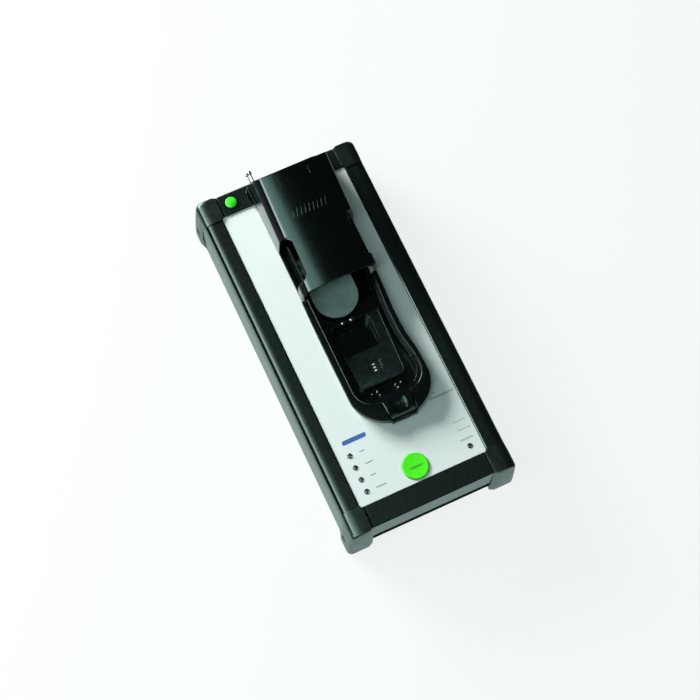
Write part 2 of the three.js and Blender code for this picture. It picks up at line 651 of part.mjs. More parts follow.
function standoff(x, y) {
  const foot = BASE_TOP + GAP;
  const shoulder = BOARD.top - BOARD.thick - GAP;
  const stem = STANDOFF.bore - GAP;
  const profile = [[0, foot], [3, foot], [3, shoulder], [stem, shoulder], [stem, -37], [0, -37]];
  return turned(profile, x, y, 6);
}

function keyBoard() {
  const sheet = box(-49.5, -125, KEY_BOARD_TOP - 1.6, 49.5, -84, KEY_BOARD_TOP);
  return cut(sheet, box(-14, -90, -30, 30, -80, 0));
}

function keySwitch() {
  const { x, y } = BUTTON;
  const { half, top } = KEY_SWITCH;
  return box(x - half, y - half, KEY_BOARD_TOP + GAP, x + half, y + half, top);
}

function buttonSpring() {
  const coil = tube(new Coil('z', 4.6, 3, 0.78), 0.3, 3, 44);
  return coil.translate([BUTTON.x, BUTTON.y, KEY_BOARD_TOP + 0.62]);
}

function gasManifold() {
  const { y0, y1, z0, z1, half, port } = MANIFOLD;
  const block = box(CRADLE_X - half, y0, z0, CRADLE_X + half, y1, z1);
  const ports = [-port, 0, port].map((dx) => rod(CRADLE_X + dx, (y0 + y1) / 2, 2, -30, -18, 12));
  return cut(block, ...ports);
}

function solenoidValve(x) {
  const y = (MANIFOLD.y0 + MANIFOLD.y1) / 2;
  const neck = MANIFOLD.z0 - 0.4;
  const body = turned([[0, -42], [7.6, -42], [7.6, -26], [3.4, -26], [3.4, neck], [0, neck]], x, y, 18);
  return joined(body, box(x - 8, y - 8, -43.5, x + 8, y + 8, -41));
}

function pump() {
  const motor = turnedAlongY([[0, 92], [8.5, 92], [8.5, 112], [0, 112]], -37, -35, 18);
  return joined(motor, box(-46, 110, -44, -28, 124, -26));
}

const hoseRoutes = {
  inlet_hose: [[-16.5, 138.2, -9], [-16.5, 132, -9.4], [-12, 127, -13], [-8, 124, -15], [-7.7, 121.4, -15]],
  outlet_hose: [[-17.6, 138.2, -21], [-18, 133, -22], [-24, 129, -28], [-31, 128.5, -32], [-34, 126.4, -33]],
};

function hose(route) {
  const curve = new THREE.CatmullRomCurve3(route.map((point) => new THREE.Vector3(...point)));
  return tube(curve, HOSE_R, 4, 14);
}

// ---- finish -------------------------------------------------------------------------------------
const paint = (color, roughness, metalness) => ({ color, roughness, metalness });
const FINISH = {
  blackMetal: paint(0x1a2222, 0.42, 0.3),
  blackPlastic: paint(0x131a1a, 0.35, 0),
  silver: paint(0xdfe5e5, 0.4, 0.5),
  grey: paint(0x8fa09d, 0.3, 0),
  green: paint(0x4dff00, 0.4, 0),
  amber: paint(0xb0603a, 0.3, 0),
  clear: paint(0x90a39a, 0.2, 0),
  metal: paint(0xb9bfc0, 0.3, 0.9),
  gold: paint(0xcdb27a, 0.3, 0.9),
  rubber: paint(0x16181a, 0.8, 0),
  board: paint(0x1e5a38, 0.6, 0),
};

const station = new THREE.Group();

function place(name, solid, finish) {
  const mesh = new THREE.Mesh(geometryOf(solid), new THREE.MeshStandardMaterial(FINISH[finish]));
  mesh.name = name;
  station.add(mesh);
}

const flipX = (solid) => solid.mirror([1, 0, 0]);
const flipY = (solid) => solid.mirror([0, 1, 0]);

place('base_plate', basePlate(), 'blackMetal');
place('right_rail', rail(), 'blackMetal');
place('left_rail', flipX(rail()), 'blackMetal');
place('rear_bar', cut(bar(), ...rearBarHoles()), 'blackMetal');
place('front_bar', flipY(bar()), 'blackMetal');

const corners = {
  rear_right: (solid) => solid,
  rear_left: flipX,
  front_right: flipY,
  front_left: (solid) => flipX(flipY(solid)),
};
for (const [corner, turn] of Object.entries(corners)) {
  place(`${corner}_cap`, turn(cornerCap()), 'blackPlastic');
  place(`${corner}_cap_screw`, turn(capScrew()), 'metal');
}

place('front_plate', frontPlate(), 'silver');
place('start_button', startButton(), 'green');
for (const led of ledPlaces) {
  place(led.name, ledLens(led), 'clear');
}
place('green_marker', greenMarker(), 'green');
for (const port of NIPPLES) {
  place(port.name, nipple(port), 'metal');
}
place('power_jack', powerJack(), 'blackPlastic');
place('data_port', dataPort(), 'metal');

place('hood', hood(), 'blackPlastic');
place('left_finger_guide', fingerGuide(-1), 'blackPlastic');
place('right_finger_guide', fingerGuide(1), 'blackPlastic');
place('cradle', cradle(), 'blackPlastic');
place('tongue', tongue(), 'grey');
place('tongue_pin', tonguePin(), 'metal');
place('latch', latch(), 'blackPlastic');
place('latch_pin', latchPin(), 'metal');
place('latch_spring', latchSpring(), 'metal');
for (const set of CONTACT_SETS) {
  place(set.name, contactPins(set), 'gold');
}
place('left_sense_pin', sensePin(SENSE_PINS[0]), 'metal');
place('right_sense_pin', sensePin(SENSE_PINS[1]), 'metal');
place('floor_contact', floorContact(), 'metal');

place('main_board', mainBoard(), 'board');
place('key_board', keyBoard(), 'board');
place('key_switch', keySwitch(), 'blackPlastic');
place('button_spring', buttonSpring(), 'metal');
place('gas_manifold', gasManifold(), 'metal');
place('inlet_valve', solenoidValve(CRADLE_X - MANIFOLD.port), 'metal');
place('outlet_valve', solenoidValve(CRADLE_X + MANIFOLD.port), 'metal');
place('pump', pump(), 'blackPlastic');
for (const [name, route] of Object.entries(hoseRoutes)) {
  place(name, hose(route), 'clear');
}
standoffPlaces.forEach(([x, y], i) => place(`standoff_${i + 1}`, standoff(x, y), 'metal'));
footPlaces.forEach(([x, y], i) => place(`foot_${i + 1}`, foot(x, y), 'rubber'));

station.position.set(0, -(OVERALL_REAR + OVERALL_FRONT) / 2, DECK);

export default station;
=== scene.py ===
"""Looks of a test station for a portable gas detector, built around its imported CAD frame.

Lengths are in millimetres in the plate's own frame, whose origin is the centre of the silver plate's
upper face, with +X to the right, +Y to the rear and +Z up. at() turns them into the row frame.
"""

import json
import math

import bmesh
import bpy
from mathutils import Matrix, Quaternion, Vector


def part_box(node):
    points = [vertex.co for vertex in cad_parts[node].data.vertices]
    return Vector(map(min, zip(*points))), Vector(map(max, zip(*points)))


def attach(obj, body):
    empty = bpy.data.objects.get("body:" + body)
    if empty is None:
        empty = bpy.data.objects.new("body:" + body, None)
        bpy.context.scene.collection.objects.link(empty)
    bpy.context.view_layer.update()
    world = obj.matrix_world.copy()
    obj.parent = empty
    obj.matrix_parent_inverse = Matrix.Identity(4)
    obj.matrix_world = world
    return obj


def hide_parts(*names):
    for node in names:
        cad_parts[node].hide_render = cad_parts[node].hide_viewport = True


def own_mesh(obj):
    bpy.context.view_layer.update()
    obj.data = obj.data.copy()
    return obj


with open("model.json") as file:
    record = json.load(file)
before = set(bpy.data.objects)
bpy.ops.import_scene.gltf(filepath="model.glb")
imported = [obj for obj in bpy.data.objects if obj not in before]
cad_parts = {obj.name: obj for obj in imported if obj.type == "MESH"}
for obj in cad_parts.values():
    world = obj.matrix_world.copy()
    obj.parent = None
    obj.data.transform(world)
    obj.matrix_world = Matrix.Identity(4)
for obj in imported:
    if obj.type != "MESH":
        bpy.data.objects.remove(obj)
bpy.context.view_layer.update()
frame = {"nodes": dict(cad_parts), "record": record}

MM = 0.001
PLATE_LO, PLATE_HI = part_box("front_plate")
ORIGIN = Vector(((PLATE_LO.x + PLATE_HI.x) / 2, (PLATE_LO.y + PLATE_HI.y) / 2, PLATE_HI.z))
NODES = frame["nodes"]

CRADLE_X = 7.3  # middle line of the cradle and the hood
BAR_EDGE = 129.3  # where the rear bar begins behind the plate
RAIL_TOP = 1.0
GAP = 0.3  # room between a piece and the part that it stands on or beside


def at(x, y, z):
    """A place in the plate's frame as a place in the row frame, in metres."""
    return ORIGIN + Vector((x, y, z)) * MM


def link(thing):
    bpy.context.scene.collection.objects.link(thing)
    return thing


# ---- camera, light and floor ----
VIEW = {"azimuth": -28.6, "elevation": 72.4, "roll": 3.73, "place": (-221.5, -404.8, 1409.8),
        "lens": 98.07, "sensor": 36, "clip": (0.05, 20)}


def make_camera():
    data = bpy.data.cameras.new("camera")
    data.lens = VIEW["lens"]
    data.sensor_width = VIEW["sensor"]
    data.clip_start, data.clip_end = VIEW["clip"]
    camera = link(bpy.data.objects.new("camera", data))
    turn, lift = math.radians(VIEW["azimuth"]), math.radians(VIEW["elevation"])
    forward = Vector((-math.sin(turn) * math.cos(lift), math.cos(turn) * math.cos(lift), -math.sin(lift)))
    camera.rotation_mode = "QUATERNION"
    roll = Quaternion((0, 0, 1), math.radians(VIEW["roll"]))
    camera.rotation_quaternion = forward.to_track_quat("-Z", "Y") @ roll
    camera.location = at(*VIEW["place"])
    bpy.context.scene.camera = camera


COOL = (0.95, 1.0, 0.99)
PALE_TEAL = (0.73, 1.0, 0.96)
# Name, place and size in metres, watts, colour, and whether it lights matte surfaces too.
LAMPS = [
    ("key", (-1.05, 1.9, 0.76), (1.2, 0.7), 130, COOL, True),
    ("left_card", (-1.25, 0.25, 0.95), (1.7, 0.64), 41, COOL, False),
    ("high_card", (-0.83, 0.1, 1.27), (1.3, 0.5), 7, COOL, False),
    ("overhead_sheen", (-0.62, -0.24, 1.42), (0.5, 1.1), 2.6, PALE_TEAL, False),
    ("overhead_left", (-0.62, -0.24, 1.4), (0.5, 1.1), 4.6, PALE_TEAL, True),
    ("front_fill", (0.25, -1.1, 1.0), (0.9, 0.5), 2.1, PALE_TEAL, True),
]
WORLD = {"lit": (0.68, 0.98, 0.94, 1), "strength": 0.05, "seen": (0.87, 0.885, 0.885, 1)}


def soft_box(name, place, size, power, tint, diffuse):
    """A rectangular lamp that points at the middle of the frame."""
    data = bpy.data.lights.new(name, "AREA")
    data.shape = "RECTANGLE"
    data.size, data.size_y = size
    data.energy = power
    data.color = tint
    lamp = link(bpy.data.objects.new(name, data))
    lamp.location = Vector(place)
    lamp.rotation_mode = "QUATERNION"
    lamp.rotation_quaternion = (-lamp.location).to_track_quat("-Z", "Y")
    lamp.visible_diffuse = diffuse


def make_light():
    """The studio lamps, and a world that is pale for the camera and dim for what it lights."""
    for lamp in LAMPS:
        soft_box(*lamp)
    world = bpy.data.worlds.new("studio")
    world.use_nodes = True
    tree = world.node_tree
    dim = tree.nodes["Background"]
    dim.inputs["Color"].default_value = WORLD["lit"]
    dim.inputs["Strength"].default_value = WORLD["strength"]
    pale = tree.nodes.new("ShaderNodeBackground")
    pale.inputs["Color"].default_value = WORLD["seen"]
    seen = tree.nodes.new("ShaderNodeLightPath")
    mix = tree.nodes.new("ShaderNodeMixShader")
    tree.links.new(seen.outputs["Is Camera Ray"], mix.inputs[0])
    tree.links.new(dim.outputs[0], mix.inputs[1])
    tree.links.new(pale.outputs[0], mix.inputs[2])
    tree.links.new(mix.outputs[0], tree.nodes["World Output"].inputs["Surface"])
    bpy.context.scene.world = world


FLOOR_HALF = 6
FLOOR_COLOUR = (0.09, 0.092, 0.09)
GLOW = {"strength": 0.8, "seen": 0.84, "near": 0.15, "far": 0.34, "squeeze_y": 0.6,
        "colour": (0.74, 1.0, 0.95, 1), "seen_colour": (0.97, 1.0, 0.99, 1)}


def make_floor():
    """A pale floor. It glows by itself, and for what it lights it glows only near the object."""
    mesh = bpy.data.meshes.new("floor")
    corners = [(x * FLOOR_HALF, y * FLOOR_HALF, 0) for x, y in ((-1, -1), (1, -1), (1, 1), (-1, 1))]
    mesh.from_pydata(corners, [], [(0, 1, 2, 3)])
    floor = link(bpy.data.objects.new("floor", mesh))
    white = Finish("floor_white", FLOOR_COLOUR, 0.7).mottled(120, 0.01)
    squeezed = white.add("ShaderNodeVectorMath", operation="MULTIPLY")
    squeezed.inputs[1].default_value = (1, GLOW["squeeze_y"], 1)
    white.join(white.place, squeezed.inputs[0])
    away = white.add("ShaderNodeVectorMath", operation="LENGTH")
    white.join(squeezed.outputs["Vector"], away.inputs[0])
    fade = white.spread(away.outputs["Value"], GLOW["strength"], 0, GLOW["near"], GLOW["far"])
    seen = white.add("ShaderNodeLightPath")
    glow = white.add("ShaderNodeMix", data_type="FLOAT")
    white.join(seen.outputs["Is Camera Ray"], glow.inputs["Factor"])
    white.join(fade, glow.inputs["A"])
    glow.inputs["B"].default_value = GLOW["seen"]
    white.join(glow.outputs["Result"], white.shader.inputs["Emission Strength"])
    tint = white.add("ShaderNodeMix", data_type="RGBA")
    white.join(seen.outputs["Is Camera Ray"], tint.inputs["Factor"])
    tint.inputs[6].default_value = GLOW["colour"]
    tint.inputs[7].default_value = GLOW["seen_colour"]
    white.join(tint.outputs[2], white.shader.inputs["Emission Color"])
    floor.data.materials.append(white.material)


# ---- materials ----
class Finish:
    """A node material: a Principled shader and what feeds it."""

    def __init__(self, name, colour, rough, metal=0.0):
        self.material = bpy.data.materials.new(name)
        self.material.use_nodes = True
        self.tree = self.material.node_tree
        self.shader = self.tree.nodes["Principled BSDF"]
        self.place = self.add("ShaderNodeTexCoord").outputs["Object"]
        self.set("Base Color", (*colour, 1))
        self.set("Roughness", rough)
        self.set("Metallic", metal)
        self.colour = colour
        self.rough = rough

    def add(self, kind, **settings):
        node = self.tree.nodes.new(kind)
        for key, value in settings.items():
            setattr(node, key, value)
        return node

    def set(self, socket, value):
        self.shader.inputs[socket].default_value = value
        return self

    def join(self, source, target):
        self.tree.links.new(source, target)

    def noise(self, size_mm, detail, stretch=(1, 1, 1)):
        """Noise whose features are about size_mm across, stretched along an axis by a small factor."""
        mapping = self.add("ShaderNodeMapping")
        mapping.inputs["Scale"].default_value = stretch
        self.join(self.place, mapping.inputs["Vector"])
        node = self.add("ShaderNodeTexNoise")
        node.inputs["Scale"].default_value = 1 / (size_mm * MM)
        node.inputs["Detail"].default_value = detail
        self.join(mapping.outputs[0], node.inputs["Vector"])
        return node.outputs["Fac"]

    def spread(self, fac, low, high, start=0.3, end=0.7):
        """A value that goes from low to high as fac goes from start to end."""
        node = self.add("ShaderNodeMapRange")
        for key, value in {"From Min": start, "From Max": end, "To Min": low, "To Max": high}.items():
            node.inputs[key].default_value = value
        self.join(fac, node.inputs["Value"])
        return node.outputs["Result"]

    def ramp(self, fac, *stops):
        """Colour ramp from (position, colour) stops."""
        node = self.add("ShaderNodeValToRGB")
        elements = node.color_ramp.elements
        while len(elements) < len(stops):
            elements.new(0.5)
        for element, (position, colour) in zip(elements, stops):
            element.position = position
            element.color = (*colour, 1)
        self.join(fac, node.inputs["Fac"])
        return node.outputs["Color"]

    def mottled(self, size_mm, amount):
        """Blotches that make the colour lighter and darker by the given share."""
        dark = tuple(c * (1 - amount) for c in self.colour)
        light = tuple(min(1, c * (1 + amount)) for c in self.colour)
        tone = self.ramp(self.noise(size_mm, 4.0), (0.3, dark), (0.7, light))
        self.join(tone, self.shader.inputs["Base Color"])
        return self

    def uneven(self, size_mm, amount, stretch=(1, 1, 1)):
        """Patches that make the surface rougher and smoother by the given share."""
        low, high = self.rough * (1 - amount), self.rough * (1 + amount)
        rough = self.spread(self.noise(size_mm, 4, stretch), low, high)
        self.join(rough, self.shader.inputs["Roughness"])
        return self

    def grained(self, size_mm, depth_mm, soft_edge_mm=0.4, stretch=(1, 1, 1), height=None):
        """Bump of the given depth over edges rounded to soft_edge_mm."""
        bump = self.add("ShaderNodeBump")
        bump.inputs["Strength"].default_value = 1.0
        bump.inputs["Distance"].default_value = depth_mm * MM
        self.join(height or self.noise(size_mm, 2, stretch), bump.inputs["Height"])
        if soft_edge_mm:
            edge = self.add("ShaderNodeBevel", samples=4)
            edge.inputs["Radius"].default_value = soft_edge_mm * MM
            self.join(edge.outputs["Normal"], bump.inputs["Normal"])
        self.join(bump.outputs["Normal"], self.shader.inputs["Normal"])
        return self


TEAL = (0.74, 1.0, 0.94, 1)  # the black finishes reflect a little cooler than they are lit


def surface(name, colour, rough, blotches, patches, grain, metal=0.0, tint=None):
    """A finish from the arguments of mottled(), uneven() and grained()."""
    finish = Finish(name, colour, rough, metal).mottled(*blotches).uneven(*patches).grained(*grain)
    return finish.set("Specular Tint", tint) if tint else finish


def ink(name, colour):
    return surface(name, colour, 0.5, (0.6, 0.12), (1, 0.1), (0.4, 0.004, 0))


def lamp(name, colour):
    return surface(name, colour, 0.12, (0.9, 0.3), (1, 0.2), (0.7, 0.002, 0.2)).set("Coat Weight", 0.6)


def metal(name, colour, rough, stretch=(1, 1, 1)):
    return surface(name, colour, rough, (1.5, 0.12), (0.8, 0.3, stretch), (0.3, 0.003, 0.2, stretch), 1.0)


def rubber(name, colour, rough):
    return surface(name, colour, rough, (1.4, 0.25), (2, 0.1), (0.5, 0.03, 0.4))


def circuit_board():
    finish = Finish("circuit_board", (0.012, 0.085, 0.035), 0.45)
    traces = finish.add("ShaderNodeTexBrick", offset=0.37, squash=0.6)
    for key, value in {"Scale": 160.0, "Mortar Size": 0.03, "Mortar Smooth": 0.2}.items():
        traces.inputs[key].default_value = value
    finish.join(finish.place, traces.inputs["Vector"])
    tone = finish.ramp(traces.outputs["Fac"], (0.0, (0.01, 0.08, 0.03)), (1.0, (0.03, 0.17, 0.07)))
    finish.join(tone, finish.shader.inputs["Base Color"])
    return finish.uneven(1.2, 0.2).grained(0.5, 0.01, 0.1, height=traces.outputs["Fac"])


MATERIALS = {
    "black_metal": surface("black_powder_coat", (0.0035, 0.006, 0.0055), 0.3,
                           (1.6, 0.35), (2.5, 0.12), (0.7, 0.004, 0.4), tint=TEAL),
    "cap_plastic": surface("black_cap_plastic", (0.005, 0.0085, 0.008), 0.34,
                           (3, 0.2), (4, 0.15), (0.7, 0.01, 0.5), tint=TEAL),
    "screw_steel": metal("blackened_steel", (0.12, 0.125, 0.125), 0.32),
    "plate_silver": surface("silver_plate", (0.86, 0.885, 0.88), 0.42,
                            (0.9, 0.03), (1.5, 0.12), (0.5, 0.006, 0.2), 0.1),
    "button_green": surface("green_button", (0.075, 0.93, 0.0), 0.42,
                            (2.2, 0.05), (3, 0.1), (0.6, 0.008, 0.5)),
    "marker_green": surface("green_marker", (0.06, 0.85, 0.03), 0.2,
                            (1.5, 0.12), (2, 0.15), (0.8, 0.004, 0.4)),
    "lamp_green": lamp("lamp_green", (0.03, 0.085, 0.04)),
    "lamp_dark": lamp("lamp_dark", (0.03, 0.035, 0.035)),
    "lamp_amber": lamp("lamp_amber", (0.13, 0.075, 0.04)),
    "nipple_metal": metal("nipple_steel", (0.3, 0.32, 0.31), 0.3),
    "port_plastic": rubber("port_plastic", (0.012, 0.013, 0.013), 0.5),
    "port_metal": metal("port_shell", (0.6, 0.61, 0.62), 0.28),
    "hood_plastic": surface("black_gloss_plastic", (0.0013, 0.002, 0.002), 0.15,
                            (8, 0.25), (6, 0.12), (0.8, 0.002, 0.6), tint=TEAL),
    "cradle_plastic": surface("black_cradle_plastic", (0.0018, 0.0028, 0.0028), 0.2,
                              (6, 0.25), (5, 0.15), (0.9, 0.004, 0.6), tint=TEAL),
    "tongue_plastic": surface("grey_tongue_plastic", (0.31, 0.42, 0.4), 0.24,
                              (7, 0.12), (5, 0.15), (1, 0.004, 0.5)),
    "pin_steel": metal("polished_steel", (0.75, 0.76, 0.76), 0.14),
    "contact_gold": metal("plated_contacts", (0.82, 0.74, 0.6), 0.18),
    "circuit_board": circuit_board(),
    "switch_plastic": rubber("switch_plastic", (0.02, 0.02, 0.022), 0.45),
    "manifold_aluminium": metal("milled_aluminium", (0.62, 0.63, 0.64), 0.3, (1, 8, 8)),
    "valve_steel": metal("valve_steel", (0.42, 0.43, 0.44), 0.32),
    "hose_rubber": rubber("clear_hose", (0.35, 0.37, 0.36), 0.3).set("Subsurface Weight", 0.15),
    "standoff_brass": metal("standoff_brass", (0.6, 0.43, 0.19), 0.28),
    "foot_rubber": rubber("foot_rubber", (0.014, 0.014, 0.015), 0.85),
}
FLOOR_PANEL = surface("dark_teal_plastic", (0.008, 0.014, 0.013), 0.28,
                      (7, 0.35), (5, 0.2), (0.8, 0.004, 0.3), tint=TEAL)
# Partly real, partly painted light: the strips below the bars sit on a real recess, and their near-black,
# hardly reflecting finish paints the shade that falls there.
PAINTED_SHADE_BAND = surface("matte_black_painted_shade_band", (0.0015, 0.002, 0.002), 0.9,
               (2, 0.3), (2, 0.05), (0.6, 0.02, 0.2)).set("Specular IOR Level", 0.05)
BLUE_INK = ink("blue_ink", (0.03, 0.12, 0.42))
PALE_INK = ink("pale_ink", (0.52, 0.56, 0.56))
GREY_INK = ink("grey_ink", (0.34, 0.35, 0.36))
GREEN_INK = ink("green_ink", (0.03, 0.42, 0.0))
FINGER_STEEL = metal("dark_spring_steel", (0.2, 0.21, 0.21), 0.3)
SMOOTH_ANGLE = math.radians(32)
WELD = 0.00001


def dress(piece, slot, finish=None):
    """Gives a CAD node or a piece its slot's material, and smooths it between its real edges."""
    piece.data.materials.clear()
    piece.data.materials.append((finish or MATERIALS[slot]).material)
    piece.data.polygons.foreach_set("use_smooth", [True] * len(piece.data.polygons))
    weld = piece.modifiers.new("weld", "WELD")
    weld.merge_threshold = WELD
    split = piece.modifiers.new("edges", "EDGE_SPLIT")
    split.split_angle = SMOOTH_ANGLE
    split.use_edge_sharp = False


# ---- mesh tools ----
def piece_of(name, points, faces):
    """A new piece from points in the plate's frame."""
    mesh = bpy.data.meshes.new(name)
    mesh.from_pydata([at(*p) for p in points], [], faces)
    shape = bmesh.new()
    shape.from_mesh(mesh)
    bmesh.ops.remove_doubles(shape, verts=shape.verts, dist=1e-6)
    bmesh.ops.recalc_face_normals(shape, faces=shape.faces)
    shape.to_mesh(mesh)
    shape.free()
    return link(bpy.data.objects.new(name, mesh))


def skin(name, rings, closed=False):
    """A skin over rings of equal count, capped at both ends or closed into a loop."""
    count = len(rings[0])
    last = (len(rings) - 1) * count
    faces = [] if closed else [tuple(range(count)), tuple(range(last, last + count))]
    for layer in range(len(rings) if closed else len(rings) - 1):
        below, above = layer * count, (layer + 1) % len(rings) * count
        for i in range(count):
            j = (i + 1) % count
            faces.append((below + i, below + j, above + j, above + i))
    return piece_of(name, [p for ring in rings for p in ring], faces)


def upward(name, outline, z0, z1):
    """A prism along Z from an outline of (x, y)."""
    return skin(name, [[(x, y, z) for x, y in outline] for z in (z0, z1)])


def along_x(name, outline, x0, x1):
    """A prism along X from an outline of (y, z)."""
    return skin(name, [[(x, y, z) for y, z in outline] for x in (x0, x1)])


def along_y(name, outline, y0, y1):
    """A prism along Y from an outline of (x, z)."""
    return skin(name, [[(x, y, z) for x, z in outline] for y in (y0, y1)])


def grown(outline, distance):
    """A counter-clockwise outline moved outwards, or inwards by a negative distance."""
    moved = []
    for i, (x, y) in enumerate(outline):
        last_x, last_y = outline[i - 1]
        next_x, next_y = outline[(i + 1) % len(outline)]
        before = Vector((y - last_y, last_x - x)).normalized()
        after = Vector((next_y - y, x - next_x)).normalized()
        middle = (before + after).normalized()
        reach = distance / max(0.3, middle.dot(after))
        moved.append((x + middle.x * reach, y + middle.y * reach))
    return moved


def slab(name, outline, z0, z1, r, steps=5, foot=None):
    """An upright solid whose upper edge is rounded to r. Its foot can have an outline of its own."""
    rings = [[(x, y, z0) for x, y in foot or outline]]
    for i in range(steps + 1):
        turn = math.radians(90 * i / steps)
        ring = grown(outline, -r * (1 - math.cos(turn)))
        rings.append([(x, y, z1 - r + r * math.sin(turn)) for x, y in ring])
    return skin(name, rings)


def catmull_rom(p, q, r, s, t):
    """One coordinate at share t of the way from q to r."""
    square, cube = 2 * p - 5 * q + 4 * r - s, 3 * q - p - 3 * r + s
    return 0.5 * (2 * q + (r - p) * t + square * t ** 2 + cube * t ** 3)


def smooth_through(points, steps=6):
    """A Catmull-Rom curve through the points."""
    curve = [points[0]]
    for i in range(len(points) - 1):
        a, b, c = points[max(i - 1, 0)], points[i], points[i + 1]
        d = points[min(i + 2, len(points) - 1)]
        for step in range(1, steps + 1):
            t = step / steps
            curve.append(tuple(catmull_rom(*values, t) for values in zip(a, b, c, d)))
    return curve


def ellipse(cx, cy, rx, ry, start, end, steps):
    """Points of an elliptical arc, angles in degrees."""
    angles = [math.radians(start + (end - start) * i / steps) for i in range(steps + 1)]
    return [(cx + rx * math.cos(a), cy + ry * math.sin(a)) for a in angles]


def mirror(piece, side_x, side_y):
    """Mirrors a piece built in the rear right corner into the corner on the given sides."""
    for vertex in piece.data.vertices:
        vertex.co.x = ORIGIN.x + side_x * (vertex.co.x - ORIGIN.x)
        vertex.co.y = ORIGIN.y + side_y * (vertex.co.y - ORIGIN.y)
    if side_x * side_y < 0:
        piece.data.flip_normals()


def block(name, x0, y0, z0, x1, y1, z1):
    return upward(name, [(x0, y0), (x1, y0), (x1, y1), (x0, y1)], z0, z1)


def arc(cx, cy, r, start, end, steps=8):
    return ellipse(cx, cy, r, r, start, end, steps)


def round_box(x0, y0, x1, y1, r, steps=8):
    """Outline of a rectangle with corners rounded to r."""
    corners = [(x1 - r, y0 + r, -90), (x1 - r, y1 - r, 0), (x0 + r, y1 - r, 90), (x0 + r, y0 + r, 180)]
    return [p for cx, cy, start in corners for p in arc(cx, cy, r, start, start + 90, steps)]


def lathe(name, profile, place, axis, segments, closed=False):
    """A piece turned about the x or z axis through place: profile of (radius, distance along it)."""
    rings = []
    for r, along in profile:
        ring = []
        for i in range(segments):
            angle = 2 * math.pi * i / segments
            a, b = r * math.cos(angle), r * math.sin(angle)
            offset = (along, a, b) if axis == "x" else (a, b, along)
            ring.append(tuple(p + o for p, o in zip(place, offset)))
        rings.append(ring)
    return skin(name, rings, closed)


def settle(piece):
    """Turns the piece's modifiers into its mesh."""
    graph = bpy.context.evaluated_depsgraph_get()
    mesh = bpy.data.meshes.new_from_object(piece.evaluated_get(graph))
    piece.modifiers.clear()
    piece.data = mesh


def boolean(piece, operation, *tools):
    """Changes the piece by each tool in turn, and removes the tools."""
    for tool in tools:
        modifier = piece.modifiers.new(operation, "BOOLEAN")
        modifier.operation = operation
        modifier.solver = "EXACT"
        modifier.object = tool
        settle(piece)
        bpy.data.objects.remove(tool)
    return piece


def cut(piece, *tools):
    return boolean(piece, "DIFFERENCE", *tools)


def joined(piece, *tools):
    return boolean(piece, "UNION", *tools)


def common(piece, *tools):
    return boolean(piece, "INTERSECT", *tools)


def fit(piece, slot, body, *nodes, finish=None):
    """Dresses a piece, lets it ride on its body, and puts it in place of the CAD nodes given."""
    dress(piece, slot, finish)
    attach(piece, body)
    if nodes:
        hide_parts(*nodes)
    return piece


# ---- hood ----
# Its front and the rear ends of its top and foot, the heights of its top at the front and the rear, the
# crown's rise, half the foot's width, the lean in degrees at which a side meets the top, the height of
# the skirt on the rear bar, and the shape of its corners in plan.
HOOD = {"front": 37.2, "rear": 128.5, "foot": 146.5, "low": 26.0, "high": 48.0, "crown": 1.9, "base": 32.4,
        "over": 81, "skirt": 2.8, "plan_round": 18, "mouth_half": 33, "mouth_round": 4.5}
# Radii of the turn into the top and of the bend below it, how far the bend is below the top's edge, and
# the lean in degrees below and above the bend.
HOOD_LEFT = {"fillet": 7.2, "bend": 4.0, "drop": 8.6, "upright": 1.2, "lean": 38}
HOOD_RIGHT = {"fillet": 4.8, "bend": 8.0, "drop": 17.0, "upright": 1.5, "lean": 6}
HOOD_WALL = 2.6
HOOD_FOOT = -1.0  # the sides start below the plate and are cut off just above it
CROWN_HALF = 28  # half the width over which the crown falls away
HOOD_INNER_ROUND = 0.7  # how much of the wall's thickness the inside's radius is smaller
SCALLOP = {"inner": 23, "outer": 50, "front": 46, "rear": 82, "round": 6, "low": 4, "high": 70}
HATCH = {"count": 9, "pitch": 3.4, "y": 94.6, "length": 6.4, "width": 1.0, "lean": 0.9}
# Height over the hood's top, and the shares of a bar's width and length, from its foot to its top.
HATCH_LAYERS = ((-0.6, 1.0, 1.0), (0.18, 1.0, 1.0), (0.3, 0.8, 0.96))
ARROW = {"stem": 0.45, "wing": 1.5, "tail": -3.4, "neck": 0.8, "tip": 3.2, "sunk": -0.6, "height": 0.5}
ARROW_PLACES = {"hood_mark_left": (-6.0, 120.6), "hood_mark_right": (18.8, 121.1)}


def hood_side(shape, inset, edge_z):
    """Half of the hood's section, from its foot up to where its crowned top begins.

    The wall is nearly upright, then leans in more, then turns over into the top.
    """
    upright, lean, over = (math.radians(a) for a in (shape["upright"], shape["lean"], HOOD["over"]))
    bend, r = shape["bend"], shape["fillet"] - HOOD_INNER_ROUND * inset
    base, foot_z = HOOD["base"] - inset, HOOD_FOOT
    bend_z = edge_z - shape["drop"]
    points = [(base, foot_z)]
    x = base - (bend_z - foot_z) * math.tan(upright)
    for i in range(5):
        turn = upright + (lean - upright) * i / 4
        points.append((x - bend * (math.cos(upright) - math.cos(turn)),
                       bend_z + bend * (math.sin(turn) - math.sin(upright))))
    last_x, last_z = points[-1]
    straight = edge_z - r * (math.sin(over) - math.sin(lean)) - last_z
    corner_x, corner_z = last_x - straight * math.tan(lean), last_z + straight
    for i in range(13):
        turn = lean + (over - lean) * i / 12
        points.append((corner_x - r * (math.cos(lean) - math.cos(turn)),
                       corner_z + r * (math.sin(turn) - math.sin(lean))))
    return points


